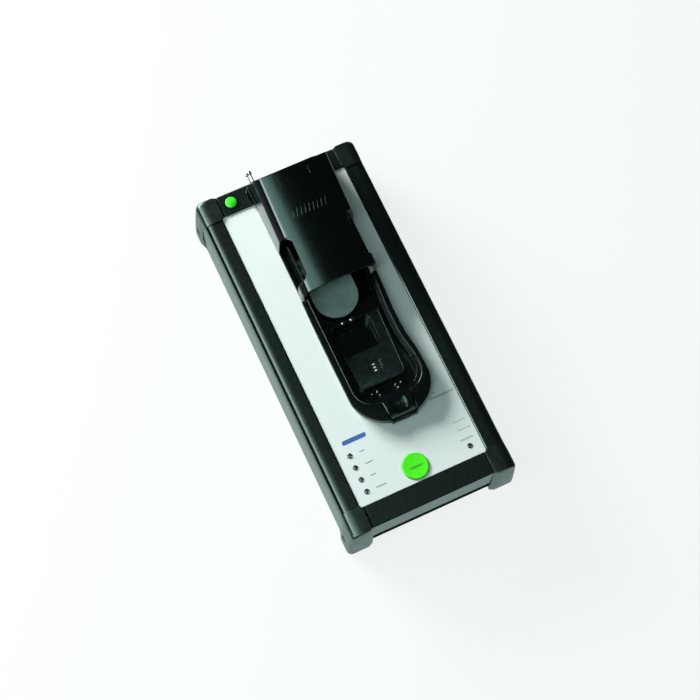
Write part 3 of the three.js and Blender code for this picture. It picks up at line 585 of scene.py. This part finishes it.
def hood_ring(y, inset, steps=10):
    """The hood's section at y."""
    t = (y - HOOD["front"]) / (HOOD["rear"] - HOOD["front"])
    edge_z = HOOD["low"] + t * (HOOD["high"] - HOOD["low"]) - HOOD["crown"] - inset
    right = hood_side(HOOD_RIGHT, inset, edge_z)
    left = [(-x, z) for x, z in reversed(hood_side(HOOD_LEFT, inset, edge_z))]
    start, end = right[-1][0], left[0][0]
    crown = []
    for i in range(1, 2 * steps):
        share = i / (2 * steps)
        crown.append((start + (end - start) * share, edge_z + HOOD["crown"] * (1 - (2 * share - 1) ** 2)))
    return [(CRADLE_X + x, y, z) for x, z in [*right, *crown, *left]]


def hood_scallop(side):
    """Cutter for a finger scallop."""
    inner, outer = CRADLE_X + side * SCALLOP["inner"], CRADLE_X + side * SCALLOP["outer"]
    front, rear = SCALLOP["front"], SCALLOP["rear"]
    outline = round_box(min(inner, outer), front, max(inner, outer), rear, SCALLOP["round"])
    return upward("scallop", outline, SCALLOP["low"], SCALLOP["high"])


def hood_arrow(name, x, y):
    """Small raised arrow on the hood's top, over the gas ports."""
    lift = hood_top(x, y)
    slope = (HOOD["high"] - HOOD["low"]) / (HOOD["rear"] - HOOD["front"])
    stem, wing = ARROW["stem"], ARROW["wing"]
    tail, neck, tip = y + ARROW["tail"], y + ARROW["neck"], y + ARROW["tip"]
    outline = [(x - stem, tail), (x + stem, tail), (x + stem, neck), (x + wing, neck), (x, tip),
               (x - wing, neck), (x - stem, neck)]
    rings = [[(px, py, lift + (py - y) * slope + h) for px, py in outline]
             for h in (ARROW["sunk"], ARROW["height"])]
    fit(skin(name, rings), "hood_plastic", "housing")


def hood_top(x, y):
    """Height of the hood's crowned top."""
    t = (y - HOOD["front"]) / (HOOD["rear"] - HOOD["front"])
    top = HOOD["low"] + t * (HOOD["high"] - HOOD["low"])
    return top - HOOD["crown"] * ((x - CRADLE_X) / CROWN_HALF) ** 2


def hood_hatch():
    """Row of slanted raised bars across the hood's top."""
    points, faces = [], []
    half, reach, lean = HATCH["width"] / 2, HATCH["length"] / 2, HATCH["lean"]
    outline = [(-lean - half, -reach), (-lean + half, -reach), (lean + half, reach), (lean - half, reach)]
    for i in range(HATCH["count"]):
        x0 = CRADLE_X + (i - (HATCH["count"] - 1) / 2) * HATCH["pitch"]
        start = len(points)
        for height, share_x, share_y in HATCH_LAYERS:
            for dx, dy in outline:
                x, y = x0 + dx * share_x, HATCH["y"] + dy * share_y
                points.append((x, y, hood_top(x, y) + height))
        faces += [tuple(start + k for k in range(4)), tuple(start + k for k in range(8, 12))]
        for layer in (0, 4):
            for k in range(4):
                a, b = start + layer + k, start + layer + (k + 1) % 4
                faces.append((a, b, b + 4, a + 4))
    fit(piece_of("hood_hatch", points, faces), "hood_plastic", "housing")


def make_hood():
    lean = (HOOD["foot"] - HOOD["rear"]) / (HOOD["high"] - RAIL_TOP)
    front, step, end = HOOD["front"], BAR_EDGE - 0.1, HOOD["foot"]
    on_plate, on_bar, over = 2 * GAP, RAIL_TOP + GAP, 20
    side = [(front, on_plate), (step, on_plate), (step, on_bar), (end, on_bar),
            (HOOD["rear"] - over * lean, HOOD["high"] + over), (front, HOOD["high"] + over)]
    shell = skin("hood_shell", [hood_ring(y, 0) for y in (20, 160)])
    plan = round_box(CRADLE_X - 40, 0, CRADLE_X + 40, end, HOOD["plan_round"], 12)
    half = HOOD["mouth_half"]
    mouth = round_box(CRADLE_X - half, front, CRADLE_X + half, 170, HOOD["mouth_round"])
    common(shell,
           along_x("side", side, -60, 80),
           upward("plan", plan, -5, 80),
           upward("mouth", mouth, -6, 90))
    half = HOOD["base"] + 3
    outline = round_box(CRADLE_X - half, 110, CRADLE_X + half, end + 0.3, 10)
    foot = upward("foot", outline, on_bar, HOOD["skirt"])
    common(foot, block("rear", -60, BAR_EDGE + 0.1, 0, 60, 160, 10))
    joined(shell, foot)
    inner = skin("inner", [hood_ring(y, HOOD_WALL) for y in (10, 123)])
    common(inner, block("above", -60, 5, -5, 60, 124, 80))
    cut(shell, inner, hood_scallop(-1), hood_scallop(1))
    fit(shell, "hood_plastic", "housing", "hood")
    for name, place in ARROW_PLACES.items():
        hood_arrow(name, *place)
    hood_hatch()


# ---- rails, corner caps and lower bands ----
BOTTOM = -49.5
RAIL_EDGE = 53.5  # where a rail begins beside the plate
RAIL_OUT = 69.4
RAIL_HALF_LENGTH = 127.2
SIDE_EDGE = {"y": 127.2, "z": -25.5, "rx": 4.6, "rz": 23.0}
CAP = {"x": 50.5, "y": 127.5, "top": 1.8, "out_x": 68.6, "out_y": 148.6, "flare_x": 3.2, "flare_y": 1.4,
       "runout": 9.0, "runout_share": 0.75, "round_by": 1.6}
CAP_LEVELS = (BOTTOM, -42, -34, -26, -18, -10, -5)  # heights of a cap's rings below its rounded top
# Plan radius at the top and at the foot, how far the upper edge falls away towards the side and the end.
CAP_ROUND = {"front": (1.8, 4.4, 8.6, 0.8), "rear": (4.4, 6.5, 8.6, 1.4)}
CAP_FALL = 5.0
CAP_SCREW = {"y": 139, "z": -33, "bore": 1.7, "head": 3.3, "seat": 69.2}
CAP_GROOVE = {"inner": 66.9, "outer": 67.9, "floor": -2.0}
CAP_INNER_SLOPE = [(49, -0.9), (50.2, -0.3), (51.7, 1.5), (51.9, 4), (49, 4)]
BAND_RIB = {"count": 7, "top": -33.0, "foot": -49.2, "back": 144.8, "valley": 145.1, "ridge": 145.5,
            "half_length": 54}


def rail_outline():
    """Section of the right rail: flat top, rounded ridge, groove, and a side that swells downwards."""
    ridge = ellipse(61.0, -1.6, 5.8, 2.6, 90, 8, 12)
    lip = ellipse(67.95, -1.75, 0.4, 0.75, 180, 30, 6)
    side = smooth_through([(68.35, -2.9), (68.8, -5.5), (69.1, -9.5), (69.3, -16.0), (RAIL_OUT, -26.0)], 4)
    outside = [(RAIL_EDGE, 0.4), (54.4, RAIL_TOP), *ridge, (66.85, -2.9), (67.5, -2.9), *lip, *side]
    foot = [(RAIL_OUT, BOTTOM), (66.6, BOTTOM), (66.6, -47.7), (58, -47.7), (58, -45.7), (66.4, -45.7)]
    inside = [(66, -12), (64.8, -5.0), (62.4, -3.4), (55.6, -2.3), (55.6, -4.3), (50.5, -4.3), (50.5, -1.8),
              (RAIL_EDGE, -1.8)]
    return [*outside, *foot, *inside]


def side_edge(name, y, slack):
    """Prism over the curved joint between a rail's side and a cap."""
    outline = ellipse(y, SIDE_EDGE["z"], SIDE_EDGE["rx"] + slack, SIDE_EDGE["rz"] + slack, 0, 354, 59)
    return along_x(name, outline, 66.9 - slack, 80)


def make_rail(side_x):
    name = "right_rail" if side_x > 0 else "left_rail"
    rail = along_y(name + "_body", rail_outline(), -132.5, 132.5)
    keep = block("keep", 40, -RAIL_HALF_LENGTH, -60, 80, RAIL_HALF_LENGTH, 10)
    joined(keep, side_edge("front_edge", -SIDE_EDGE["y"], 0), side_edge("rear_edge", SIDE_EDGE["y"], 0))
    common(rail, keep)
    mirror(rail, side_x, 1)
    fit(rail, "black_metal", "housing", name)


def cap_ring(z, radii, inset_x=0.0, inset_y=0.0):
    """A cap's plan at a height. It swells downwards, and meets the rail's side without a step."""
    down = (CAP["top"] - z) / (CAP["top"] - BOTTOM)
    swell = math.sin(down * math.pi / 2)
    x1 = CAP["out_x"] + CAP["flare_x"] * swell - inset_x
    y1 = CAP["out_y"] + CAP["flare_y"] * swell - inset_y
    r = radii[0] + (radii[1] - radii[0]) * min(1, down * CAP["round_by"])
    x0, y0 = CAP["x"], CAP["y"]
    corner = arc(x1 - r, y1 - r, r, 0, 90)
    swollen = CAP["flare_x"] * swell * CAP["runout_share"]
    runout = [(x1 - swollen * (1 - t ** 2 * (3 - 2 * t)), y0 + CAP["runout"] * t)
              for t in (0, 0.2, 0.4, 0.6, 0.8, 1)]
    return [(x, y, z) for x, y in [(x0, y0), *runout, *corner, (x0 + 4, y1), (x0, y1 - 1.8)]]


def corner_cap(side_x, side_y):
    end = "rear" if side_y > 0 else "front"
    radii = CAP_ROUND[end]
    edge_x, edge_y = radii[2:]
    rings = [cap_ring(z, radii) for z in CAP_LEVELS]
    for i in range(13):
        turn = math.radians(90 * i / 12)
        z = CAP["top"] - CAP_FALL * (1 - math.sin(turn))
        fall = 1 - math.cos(turn)
        rings.append(cap_ring(z, radii, edge_x * fall, edge_y * fall))
    shell = skin("cap_shell_" + end + ("_right" if side_x > 0 else "_left"), rings)
    bore, head, seat = CAP_SCREW["bore"], CAP_SCREW["head"], CAP_SCREW["seat"]
    screw = [(bore, 60), (bore, seat), (head, seat), (head, 75)]
    cut(shell,
        upward("inside", round_box(40, 120, 66.2, 145.8, 3), -60, -1.4),
        block("plate_room", 40, 120, -20, RAIL_EDGE, BAR_EDGE, 10),
        block("groove", CAP_GROOVE["inner"], 120, CAP_GROOVE["floor"], CAP_GROOVE["outer"], 145.4, 5),
        along_y("inner_slope", CAP_INNER_SLOPE, 120, 155),
        side_edge("rail_room", SIDE_EDGE["y"], GAP),
        lathe("screw_hole", screw, (0, CAP_SCREW["y"], CAP_SCREW["z"]), "x", 32))
    mirror(shell, side_x, side_y)
    node = f"{end}_{'right' if side_x > 0 else 'left'}_cap"
    fit(shell, "cap_plastic", "housing", node)


def lower_band(name, side_y):
    """Ribbed strip on the real recess below a bar. Its near-black, hardly reflecting finish is painted
    shade.
    """
    step = (BAND_RIB["top"] - BAND_RIB["foot"]) / BAND_RIB["count"]
    valley, ridge = BAND_RIB["valley"], BAND_RIB["ridge"]
    outline = [(BAND_RIB["back"], BAND_RIB["foot"])]
    for i in range(BAND_RIB["count"]):
        z = BAND_RIB["foot"] + i * step
        outline += [(valley, z), (ridge, z + step * 0.25), (ridge, z + step * 0.75)]
    outline += [(valley, BAND_RIB["top"]), (BAND_RIB["back"], BAND_RIB["top"])]
    band = along_x(name, outline, -BAND_RIB["half_length"], BAND_RIB["half_length"])
    mirror(band, 1, side_y)
    fit(band, "black_metal", "housing", finish=PAINTED_SHADE_BAND)


def make_enclosure():
    for side_x in (-1, 1):
        make_rail(side_x)
        for side_y in (-1, 1):
            corner_cap(side_x, side_y)
    lower_band("front_lower_band", -1)
    lower_band("rear_lower_band", 1)


# ---- cradle ----
RIM, FLOOR, CHANNEL, RAMP_FLOOR = 9.0, -10.0, -14.0, -17.0  # heights of the rim and of the well's floors
RAMP_REAR = 97.6  # rear end of the room under the tongue
RIM_EDGE = 0.7
CRADLE_FOOT = 0.95  # the width of the cradle's foot, as a share of its rim's
BEAD = {"slope": 0.32, "height": 0.22}  # a low ridge round the well, sloping to both sides
RAISED_FLOOR = {"half_front": 19.6, "half_rear": 21.4, "front": -44, "rear": 14.5, "round": 5.0}
POCKET = {"box": (-12.5, -14.0, 19.0, 11.6), "round": 4, "steps": 8, "z": -22.0, "wall": 2}
WINDOW = {"box": (1.8, -34.75, 11.8, -25.25), "round": 0.8, "steps": 4, "x": 6.8, "y": -30.0}
PANEL = {"inset": 0.5, "height": 0.5, "edge": 0.35, "rear": 12.6}
LATCH = {"rear": -63.8, "front": -80.6, "half_rear": 12.2, "half_front": 10.6,
         "pivot_y": -75.6, "pivot_z": 3.6}
TONGUE = {"x": 2.3, "y": 36.0, "r": 18.5, "hinge_y": 72.0, "hinge_z": -5.2, "tilt": 5.2, "thick": 2.0}
EAR = {"off": 20.2, "half": 0.9, "outline": [(66.5, -18), (77.5, -18), (74.5, -2.6), (69.5, -2.6)]}
HINGE_BORE, PIVOT_BORE = 1.3, 1.1
PIN_HOLE = [(1.15, -30), (1.15, 0)]
SENSE_HOLE = [(1.25, -40), (1.25, -14.2), (1.95, -14.2), (1.95, 0)]
CONTACT_PINS = [(-5.4, -49), (-0.8, -49), (0.3, -52), (14.6, -49), (19.2, -49), (15.6, -52.2)]
SENSE_PINS = [(-2.0, 13.0), (5.4, 13.0)]


def cradle_outline():
    """The cradle in front of the hood: nearly straight on the left, with a waist on the right."""
    side = smooth_through([(-26.6, 36.6), (-27.1, 16), (-27.2, -6), (-27.1, -28), (-26.9, -52)])
    left = ellipse(7.7, -52, 34.6, 28.4, 180, 270, 22)
    right = ellipse(7.7, -52, 32, 28.4, 270, 360, 22)
    waist = smooth_through([(39.7, -52), (39.4, -44), (38.6, -32), (36.9, -20), (36.2, -8), (36.4, 6),
                            (37.2, 20), (37.8, 36.6)])
    return [*side[:-1], *left, *right[1:], *waist[1:]]


def cradle_shell():
    """The cradle's outer shell, with a foot narrower than its rim and a rounded edge."""
    outline = cradle_outline()
    foot = [(CRADLE_X + (x - CRADLE_X) * CRADLE_FOOT, y) for x, y in outline]
    return slab("cradle_shell", outline, GAP, RIM, RIM_EDGE, foot=foot)


def well_outline(grow=1.0, rear=61.0):
    """The well: straight on the left, with a waist on the right."""
    side = smooth_through([(35.8, -46), (35, -36), (32.6, -22), (31.9, -8), (32, 6), (33, 22), (34, 38),
                           (34.2, 60)])
    front = [*arc(-5.2, -46, 16, 180, 270, 10), *arc(19.8, -46, 16, 270, 360, 10)]
    points = [(CRADLE_X + (x - CRADLE_X) * grow, -10 + (y + 10) * grow) for x, y in [*front, *side[1:]]]
    return [*points, (points[-1][0], rear), (points[0][0], rear)]


def well_rings(steps):
    """Rings of the well's outline, each grown by a distance and at a height."""
    return [[(x, y, z) for x, y in grown(well_outline(), distance)] for distance, z in steps]


def raised_floor_outline(inset=0.0, rear=RAISED_FLOOR["rear"]):
    """The well's raised floor, a little wider at the rear."""
    narrow, wide, round_r = RAISED_FLOOR["half_front"], RAISED_FLOOR["half_rear"], RAISED_FLOOR["round"]
    left = CRADLE_X - narrow + inset
    right = CRADLE_X + narrow - inset
    front = RAISED_FLOOR["front"] + inset
    points = [*arc(left + round_r, front + round_r, round_r, 180, 270, 8),
              *arc(right - round_r, front + round_r, round_r, 270, 360, 8)]
    return [*points, (CRADLE_X + wide - inset, rear), (CRADLE_X - wide + inset, rear)]


def latch_slot(slack):
    """Plan of the room in the cradle's front end for the latch."""
    rear, front = LATCH["rear"], LATCH["front"]
    wide, narrow = LATCH["half_rear"] + slack, LATCH["half_front"] + slack
    return [(CRADLE_X - wide, rear + slack), (CRADLE_X - narrow, front - 3),
            (CRADLE_X + narrow, front - 3), (CRADLE_X + wide, rear + slack)]


def room_block(name, room, grow, z0, z1):
    """A block with rounded corners over the pocket or the window, grown by a distance."""
    x0, y0, x1, y1 = room["box"]
    outline = round_box(x0 - grow, y0 - grow, x1 + grow, y1 + grow, room["round"] + grow, room["steps"])
    return upward(name, outline, z0, z1)


def make_cradle():
    """The cradle with its well, pocket, window, bores and ears, and the grey panel on its raised floor."""
    shell = cradle_shell()
    slope, bead_top, wall = BEAD["slope"], RIM + BEAD["height"], POCKET["wall"]
    x0, y0, x1, _ = POCKET["box"]
    bead = skin("bead", well_rings([(2 * slope, 4), (2 * slope, RIM), (slope, bead_top)]))
    joined(shell,
           common(bead, block("front_part", -60, -100, 0, 60, 36.4, 20)),
           upward("tub", well_outline(0.995, 100), -19, 0.6),
           block("pocket_box", x0 - wall, y0 - wall, POCKET["z"] - wall,
                 x1 + wall, RAISED_FLOOR["rear"], RAMP_FLOOR))
    cut(shell,
        skin("well", well_rings([(0, 3), (0, RIM), (slope, bead_top), (6, 20)])),
        upward("lower", well_outline(0.92, RAMP_REAR), CHANNEL, 5),
        block("ramp_room", CRADLE_X - 25, RAISED_FLOOR["rear"], RAMP_FLOOR, CRADLE_X + 25, RAMP_REAR, -12),
        upward("latch_room", latch_slot(0.5), 1.2, 20))
    joined(shell, upward("raised_floor", raised_floor_outline(), CHANNEL - 1, FLOOR))
    cut(shell,
        room_block("pocket", POCKET, 0, POCKET["z"], -5),
        block("under", CRADLE_X - 13, -43, -30, CRADLE_X + 13, -19, FLOOR - 2.4),
        room_block("window", WINDOW, 0, -30, 0))
    for side in (-1, 1):
        x = TONGUE["x"] + side * EAR["off"]
        joined(shell, along_x("ear", EAR["outline"], x - EAR["half"], x + EAR["half"]))
    pivot = (0, LATCH["pivot_y"], LATCH["pivot_z"])
    hinge = (0, TONGUE["hinge_y"], TONGUE["hinge_z"])
    cut(shell,
        lathe("hinge_bore", [(HINGE_BORE, -30), (HINGE_BORE, 40)], hinge, "x", 20),
        lathe("pivot_bore", [(PIVOT_BORE, -10), (PIVOT_BORE, 25)], pivot, "x", 20))
    for x, y in CONTACT_PINS:
        cut(shell, lathe("pin_hole", PIN_HOLE, (x, y, 0), "z", 16))
    for x, y in SENSE_PINS:
        cut(shell, lathe("sense_hole", SENSE_HOLE, (x, y, 0), "z", 20))
    fit(shell, "cradle_plastic", "housing", "cradle")
    panel = slab("cradle_floor_panel", raised_floor_outline(PANEL["inset"], PANEL["rear"]), FLOOR,
                 FLOOR + PANEL["height"], PANEL["edge"], 3)
    cut(panel, room_block("pocket", POCKET, 0.9, -30, 0), room_block("window", WINDOW, 0.5, -30, 0))
    fit(panel, "cradle_plastic", "housing", finish=FLOOR_PANEL)


TRIM = {"half": 0.45, "height": 0.4, "inset": 0.75, "rear": 12.0, "sunk": 0.4}
NUB = {"place": (30.9, -37.6, 7.2), "profile": [(1.3, 4.8), (1.3, 1.0), (1.1, 0.45), (0.65, 0.1), (0.05, 0)]}


def make_trim():
    """A thin half-round bead along the raised floor's right edge, and a nub on the well's wall beside it."""
    edge = raised_floor_outline(TRIM["inset"], TRIM["rear"])
    path = edge[len(edge) // 2 - 1:-1]
    top, sunk = PANEL["height"] + TRIM["height"], -TRIM["sunk"]
    section = [*ellipse(0, 0, 1, top, 0, 180, 10), (-1, sunk), (1, sunk)]
    rings = []
    for i, (x, y) in enumerate(path):
        before, after = path[max(i - 1, 0)], path[min(i + 1, len(path) - 1)]
        out = Vector((after[1] - before[1], before[0] - after[0])).normalized() * TRIM["half"]
        rings.append([(x + out.x * a, y + out.y * a, FLOOR + b) for a, b in section])
    fit(skin("cradle_floor_trim", rings), "cradle_plastic", "housing")
    fit(lathe("well_nub", NUB["profile"], NUB["place"], "x", 24), "cradle_plastic", "housing")


FINGER = {"ys": (-2.7, 0.0, 2.7), "reach": 4.4, "foot": -14.4, "rise": 3.6, "half": 0.8, "thick": 0.5,
          "narrowing": 0.35}
CARRIER = {"half_x": 7, "half_y": 6.4, "round": 0.8, "low": -15.2, "high": -13.6}


def finger(dy, steps=16):
    """A spring finger that arches over the carrier, with a rounded back."""
    rings = []
    for i in range(steps + 1):
        share = 2 * i / steps - 1
        z = FINGER["foot"] + FINGER["rise"] * (1 - share ** 2)
        half = FINGER["half"] * (1 - FINGER["narrowing"] * share ** 2)
        x = WINDOW["x"] + share * FINGER["reach"]
        rings.append([(x, WINDOW["y"] + dy + a, z + b)
                      for a, b in ellipse(0, 0, half, FINGER["thick"], 0, 345, 23)])
    return skin("finger", rings)


def make_fingers():
    """The floor contact: three spring fingers on a carrier below the window."""
    x, y, half_x, half_y = WINDOW["x"], WINDOW["y"], CARRIER["half_x"], CARRIER["half_y"]
    outline = round_box(x - half_x, y - half_y, x + half_x, y + half_y, CARRIER["round"], 3)
    carrier = upward("spring_fingers", outline, CARRIER["low"], CARRIER["high"])
    joined(carrier, *[finger(dy) for dy in FINGER["ys"]])
    fit(carrier, "pin_steel", "floor_contact", "floor_contact", finish=FINGER_STEEL)


# ---- latch ----
LATCH_TOP = [(-63.8, 10.2), (-64.2, 10.7), (-66.4, 10.9), (-69.2, 10.6), (-72, 9.9), (-75, 8.9),
             (-77.6, 7.6), (-79.3, 6.1), (-80.2, 4.6), (-80.6, 3.2)]
LATCH_UNDER = [(-79.6, 2.1), (-78, 1.8), (-73.6, 1.8), (-70.6, 4.4), (-66, 6.6), (-63.8, 8.4)]
THUMB = {"depth": 0.7, "half": 0.52, "rear": -64.6, "front": -76.0}
LATCH_RIB = {"xs": (2.3, 4.8, 7.3, 9.8), "half": 0.28, "rear": -66.2, "front": -72.4, "height": 0.1,
             "sunk": 0.1}
EDGE_ROUND = 0.09  # share of the half width over which the latch's side edges fall away
EDGE_DROP = 0.9
PIVOT_ROOM = 1.15


def latch_half(y):
    """Half the latch's width at y."""
    t = (y - LATCH["rear"]) / (LATCH["front"] - LATCH["rear"])
    return LATCH["half_rear"] + t * (LATCH["half_front"] - LATCH["half_rear"])


def thumb_dip(across, y):
    """How far the thumb hollow lies below the latch's top."""
    along = (y - THUMB["front"]) / (THUMB["rear"] - THUMB["front"])
    if not 0 < along < 1 or abs(across) >= THUMB["half"]:
        return 0.0
    fade = min(1.0, 3.2 * along, 6 * (1 - along))
    return THUMB["depth"] * (1 - (across / THUMB["half"]) ** 4) * fade


def latch_height(x, y):
    """Height of the latch's top at a place."""
    for (y0, z0), (y1, z1) in zip(LATCH_TOP, LATCH_TOP[1:]):
        if y1 <= y <= y0:
            top = z0 + (z1 - z0) * (y - y0) / (y1 - y0)
            return top - thumb_dip((x - CRADLE_X) / latch_half(y), y)
    return LATCH_TOP[-1][1]


def latch_section(across):
    """The latch's side profile at a share of its half width."""
    over = max(0.0, (abs(across) - 1 + EDGE_ROUND) / EDGE_ROUND)
    fall = EDGE_DROP * (1 - math.sqrt(max(0.0, 1 - over ** 2)))
    top = [(y, z - fall - thumb_dip(across, y)) for y, z in smooth_through(LATCH_TOP, 4)]
    return [(CRADLE_X + across * latch_half(y), y, z) for y, z in [*top, *LATCH_UNDER]]


def latch_rib(x, steps=14):
    """A low rib that follows the latch's top and fades into it at both ends."""
    half, sunk = LATCH_RIB["half"], LATCH_RIB["sunk"]
    rings = []
    for i in range(steps + 1):
        share = i / steps
        y = LATCH_RIB["rear"] + share * (LATCH_RIB["front"] - LATCH_RIB["rear"])
        z = latch_height(x, y)
        rise = (LATCH_RIB["height"] + sunk) * min(1.0, 6 * share, 6 * (1 - share)) - sunk
        foot, shoulder, top, narrow = z - 0.7, z + 0.4 * rise, z + rise, 0.4 * half
        rings.append([(x - half, y, foot), (x + half, y, foot), (x + half, y, shoulder),
                      (x + narrow, y, top), (x - narrow, y, top), (x - half, y, shoulder)])
    return skin("rib", rings)


def make_latch():
    """The latch's lever, with ribs in its thumb hollow, a pivot bore and a room for its spring."""
    edge = [1 - EDGE_ROUND * (1 - math.sin(math.radians(18 * i))) for i in range(6)]
    inner = [i / 16 * (1 - EDGE_ROUND) for i in range(-15, 16)]
    shares = [*[-e for e in reversed(edge)], *inner, *edge]
    body = skin("latch_lever", [latch_section(share) for share in shares])
    pivot = (0, LATCH["pivot_y"], LATCH["pivot_z"])
    joined(body, *[latch_rib(x) for x in LATCH_RIB["xs"]])
    cut(body, lathe("bore", [(PIVOT_ROOM, -20), (PIVOT_ROOM, 40)], pivot, "x", 20),
        block("spring_room", CRADLE_X - 2.6, -79, 0, CRADLE_X + 2.6, -71, 6.3))
    fit(body, "cradle_plastic", "latch", "latch")


# ---- tongue ----
def make_tongue():
    """The gas adaptor's blade, with a low rim round its face, and the barrel that it turns on."""
    x, r = TONGUE["x"], TONGUE["r"]
    hinge_y, hinge_z = TONGUE["hinge_y"], TONGUE["hinge_z"]
    end = hinge_y + 1.5
    outline = [(x + r, end), (x - r, end), *ellipse(x, TONGUE["y"], r, r, 180, 360, 40)]
    half = TONGUE["thick"] / 2
    # Inset of the outline and height over the blade's middle plane, from its back to its face.
    steps = [(0.5, -half), (0, -half + 0.4), (0, half - 0.8), (0.1, half - 0.4), (0.4, half - 0.1),
             (0.9, half), (1.5, half), (1.9, half - 0.12), (2.3, half - 0.3)]
    tilt = math.radians(TONGUE["tilt"])
    rings = []
    for inset, z in steps:
        ring = []
        for px, py in grown(outline, -inset):
            along = py - hinge_y
            ring.append((px, hinge_y + along * math.cos(tilt) - z * math.sin(tilt),
                         hinge_z + along * math.sin(tilt) + z * math.cos(tilt)))
        rings.append(ring)
    blade = skin("tongue_blade", rings)
    hinge = (0, hinge_y, hinge_z)
    joined(blade, lathe("barrel", [(2.5, x - r), (2.5, x + r)], hinge, "x", 32))
    cut(blade, lathe("bore", [(1.35, x - 30), (1.35, x + 30)], hinge, "x", 24))
    fit(blade, "tongue_plastic", "tongue", "tongue")


# ---- start button's spring ----
COIL = {"turns": 3, "wire": 0.3, "segments": 32, "travel": 0.8}


def make_coil():
    """The start button's spring, a coil of wire in the CAD spring's place."""
    low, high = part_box("button_spring")
    centre = (low + high) / 2 - ORIGIN
    centre_x, centre_y = centre.x / MM, centre.y / MM
    height = (high.z - low.z) / MM
    foot = (low.z - ORIGIN.z) / MM + COIL["wire"]
    radius = (high.x - low.x) / MM / 2 - COIL["wire"]
    count = COIL["turns"] * COIL["segments"]
    rings = []
    for i in range(count + 1):
        angle = 2 * math.pi * i / COIL["segments"]
        z = foot + (height - 2 * COIL["wire"]) * i / count
        ring = []
        for a, b in arc(0, 0, COIL["wire"], 0, 315, 7):
            x, y = (radius + a) * math.cos(angle), (radius + a) * math.sin(angle)
            ring.append((centre_x + x, centre_y + y, z + b))
        rings.append(ring)
    coil = fit(skin("button_coil", rings), "pin_steel", "housing", "button_spring")
    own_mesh(coil)


# ---- lamps and printed marks ----
LED = {"x": -43.4, "first": -89.0, "pitch": 10.16, "count": 4}
LINK_LED = (43.5, -120.0)
BEZEL = [(1.62, -0.3), (1.62, 0.2), (1.8, 0.34), (2.0, 0.3), (2.15, 0.12), (2.15, -0.3)]
INK_HEIGHT = 0.05
BAR_SUNK = 0.04  # how far the button's bar lies in its top
STATUS_BARS = {"x": -35.6, "half": 0.45, "lengths": (4.6, 6.8, 4.6, 8.6)}
BLUE_BAR = {"box": (-45.2, -79.8, -25.4, -76.2), "lean": 0.2}
BUTTON_BAR = (-6.2, -117.8, 4.2, -117.0)
# Left, front, right and rear of each short bar near the plate's right edge.
PLATE_BARS = [(39.2, -98.8, 49.4, -98.0), (39.8, -106.0, 51.0, -105.2), (38.4, -114.4, 49.0, -112.8),
             (34.0, -71.0, 37.6, -69.8), (31.0, -75.0, 51.6, -73.2)]


def bezel(name, x, y):
    """Thin collar round a lamp."""
    fit(lathe(name, BEZEL, (x, y, 0), "z", 32, closed=True), "lamp_dark", "housing")


def bar_mark(name, box, finish, lean=0.0, body="housing", z=0.0):
    """Flat printed bar with round ends, over a box of left, front, right and rear."""
    x0, y0, x1, y1 = box
    outline = round_box(x0, y0, x1, y1, min(x1 - x0, y1 - y0) * 0.35, 3)
    leaning = [(x + lean * (y - y0), y) for x, y in outline]
    fit(upward(name, leaning, z, z + INK_HEIGHT), "plate_silver", body, finish=finish)


def make_marks():
    """Collars round the lamps, and plain bars in place of every printed label."""
    for i in range(LED["count"]):
        y = LED["first"] - i * LED["pitch"]
        bezel(f"status_bezel_{i + 1}", LED["x"], y)
        x, half = STATUS_BARS["x"], STATUS_BARS["half"]
        box = (x, y - half, x + STATUS_BARS["lengths"][i], y + half)
        bar_mark(f"status_bar_{i + 1}", box, GREY_INK)
    bezel("link_bezel", *LINK_LED)
    bar_mark("blue_bar", BLUE_BAR["box"], BLUE_INK, BLUE_BAR["lean"])
    for i, box in enumerate(PLATE_BARS):
        bar_mark(f"plate_bar_{i + 1}", box, PALE_INK)
    button_top = (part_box("start_button")[1].z - ORIGIN.z) / MM
    bar_mark("button_bar", BUTTON_BAR, GREEN_INK, 0, "start_button", button_top - BAR_SUNK)


make_camera()
make_light()
make_floor()
for row in frame["record"]["subparts"]:
    dress(NODES[row["node"]], row["material_slot"])
make_hood()
make_enclosure()
make_cradle()
make_trim()
make_fingers()
make_latch()
make_tongue()
make_coil()
make_marks()
bpy.context.scene.view_settings.view_transform = "Standard"
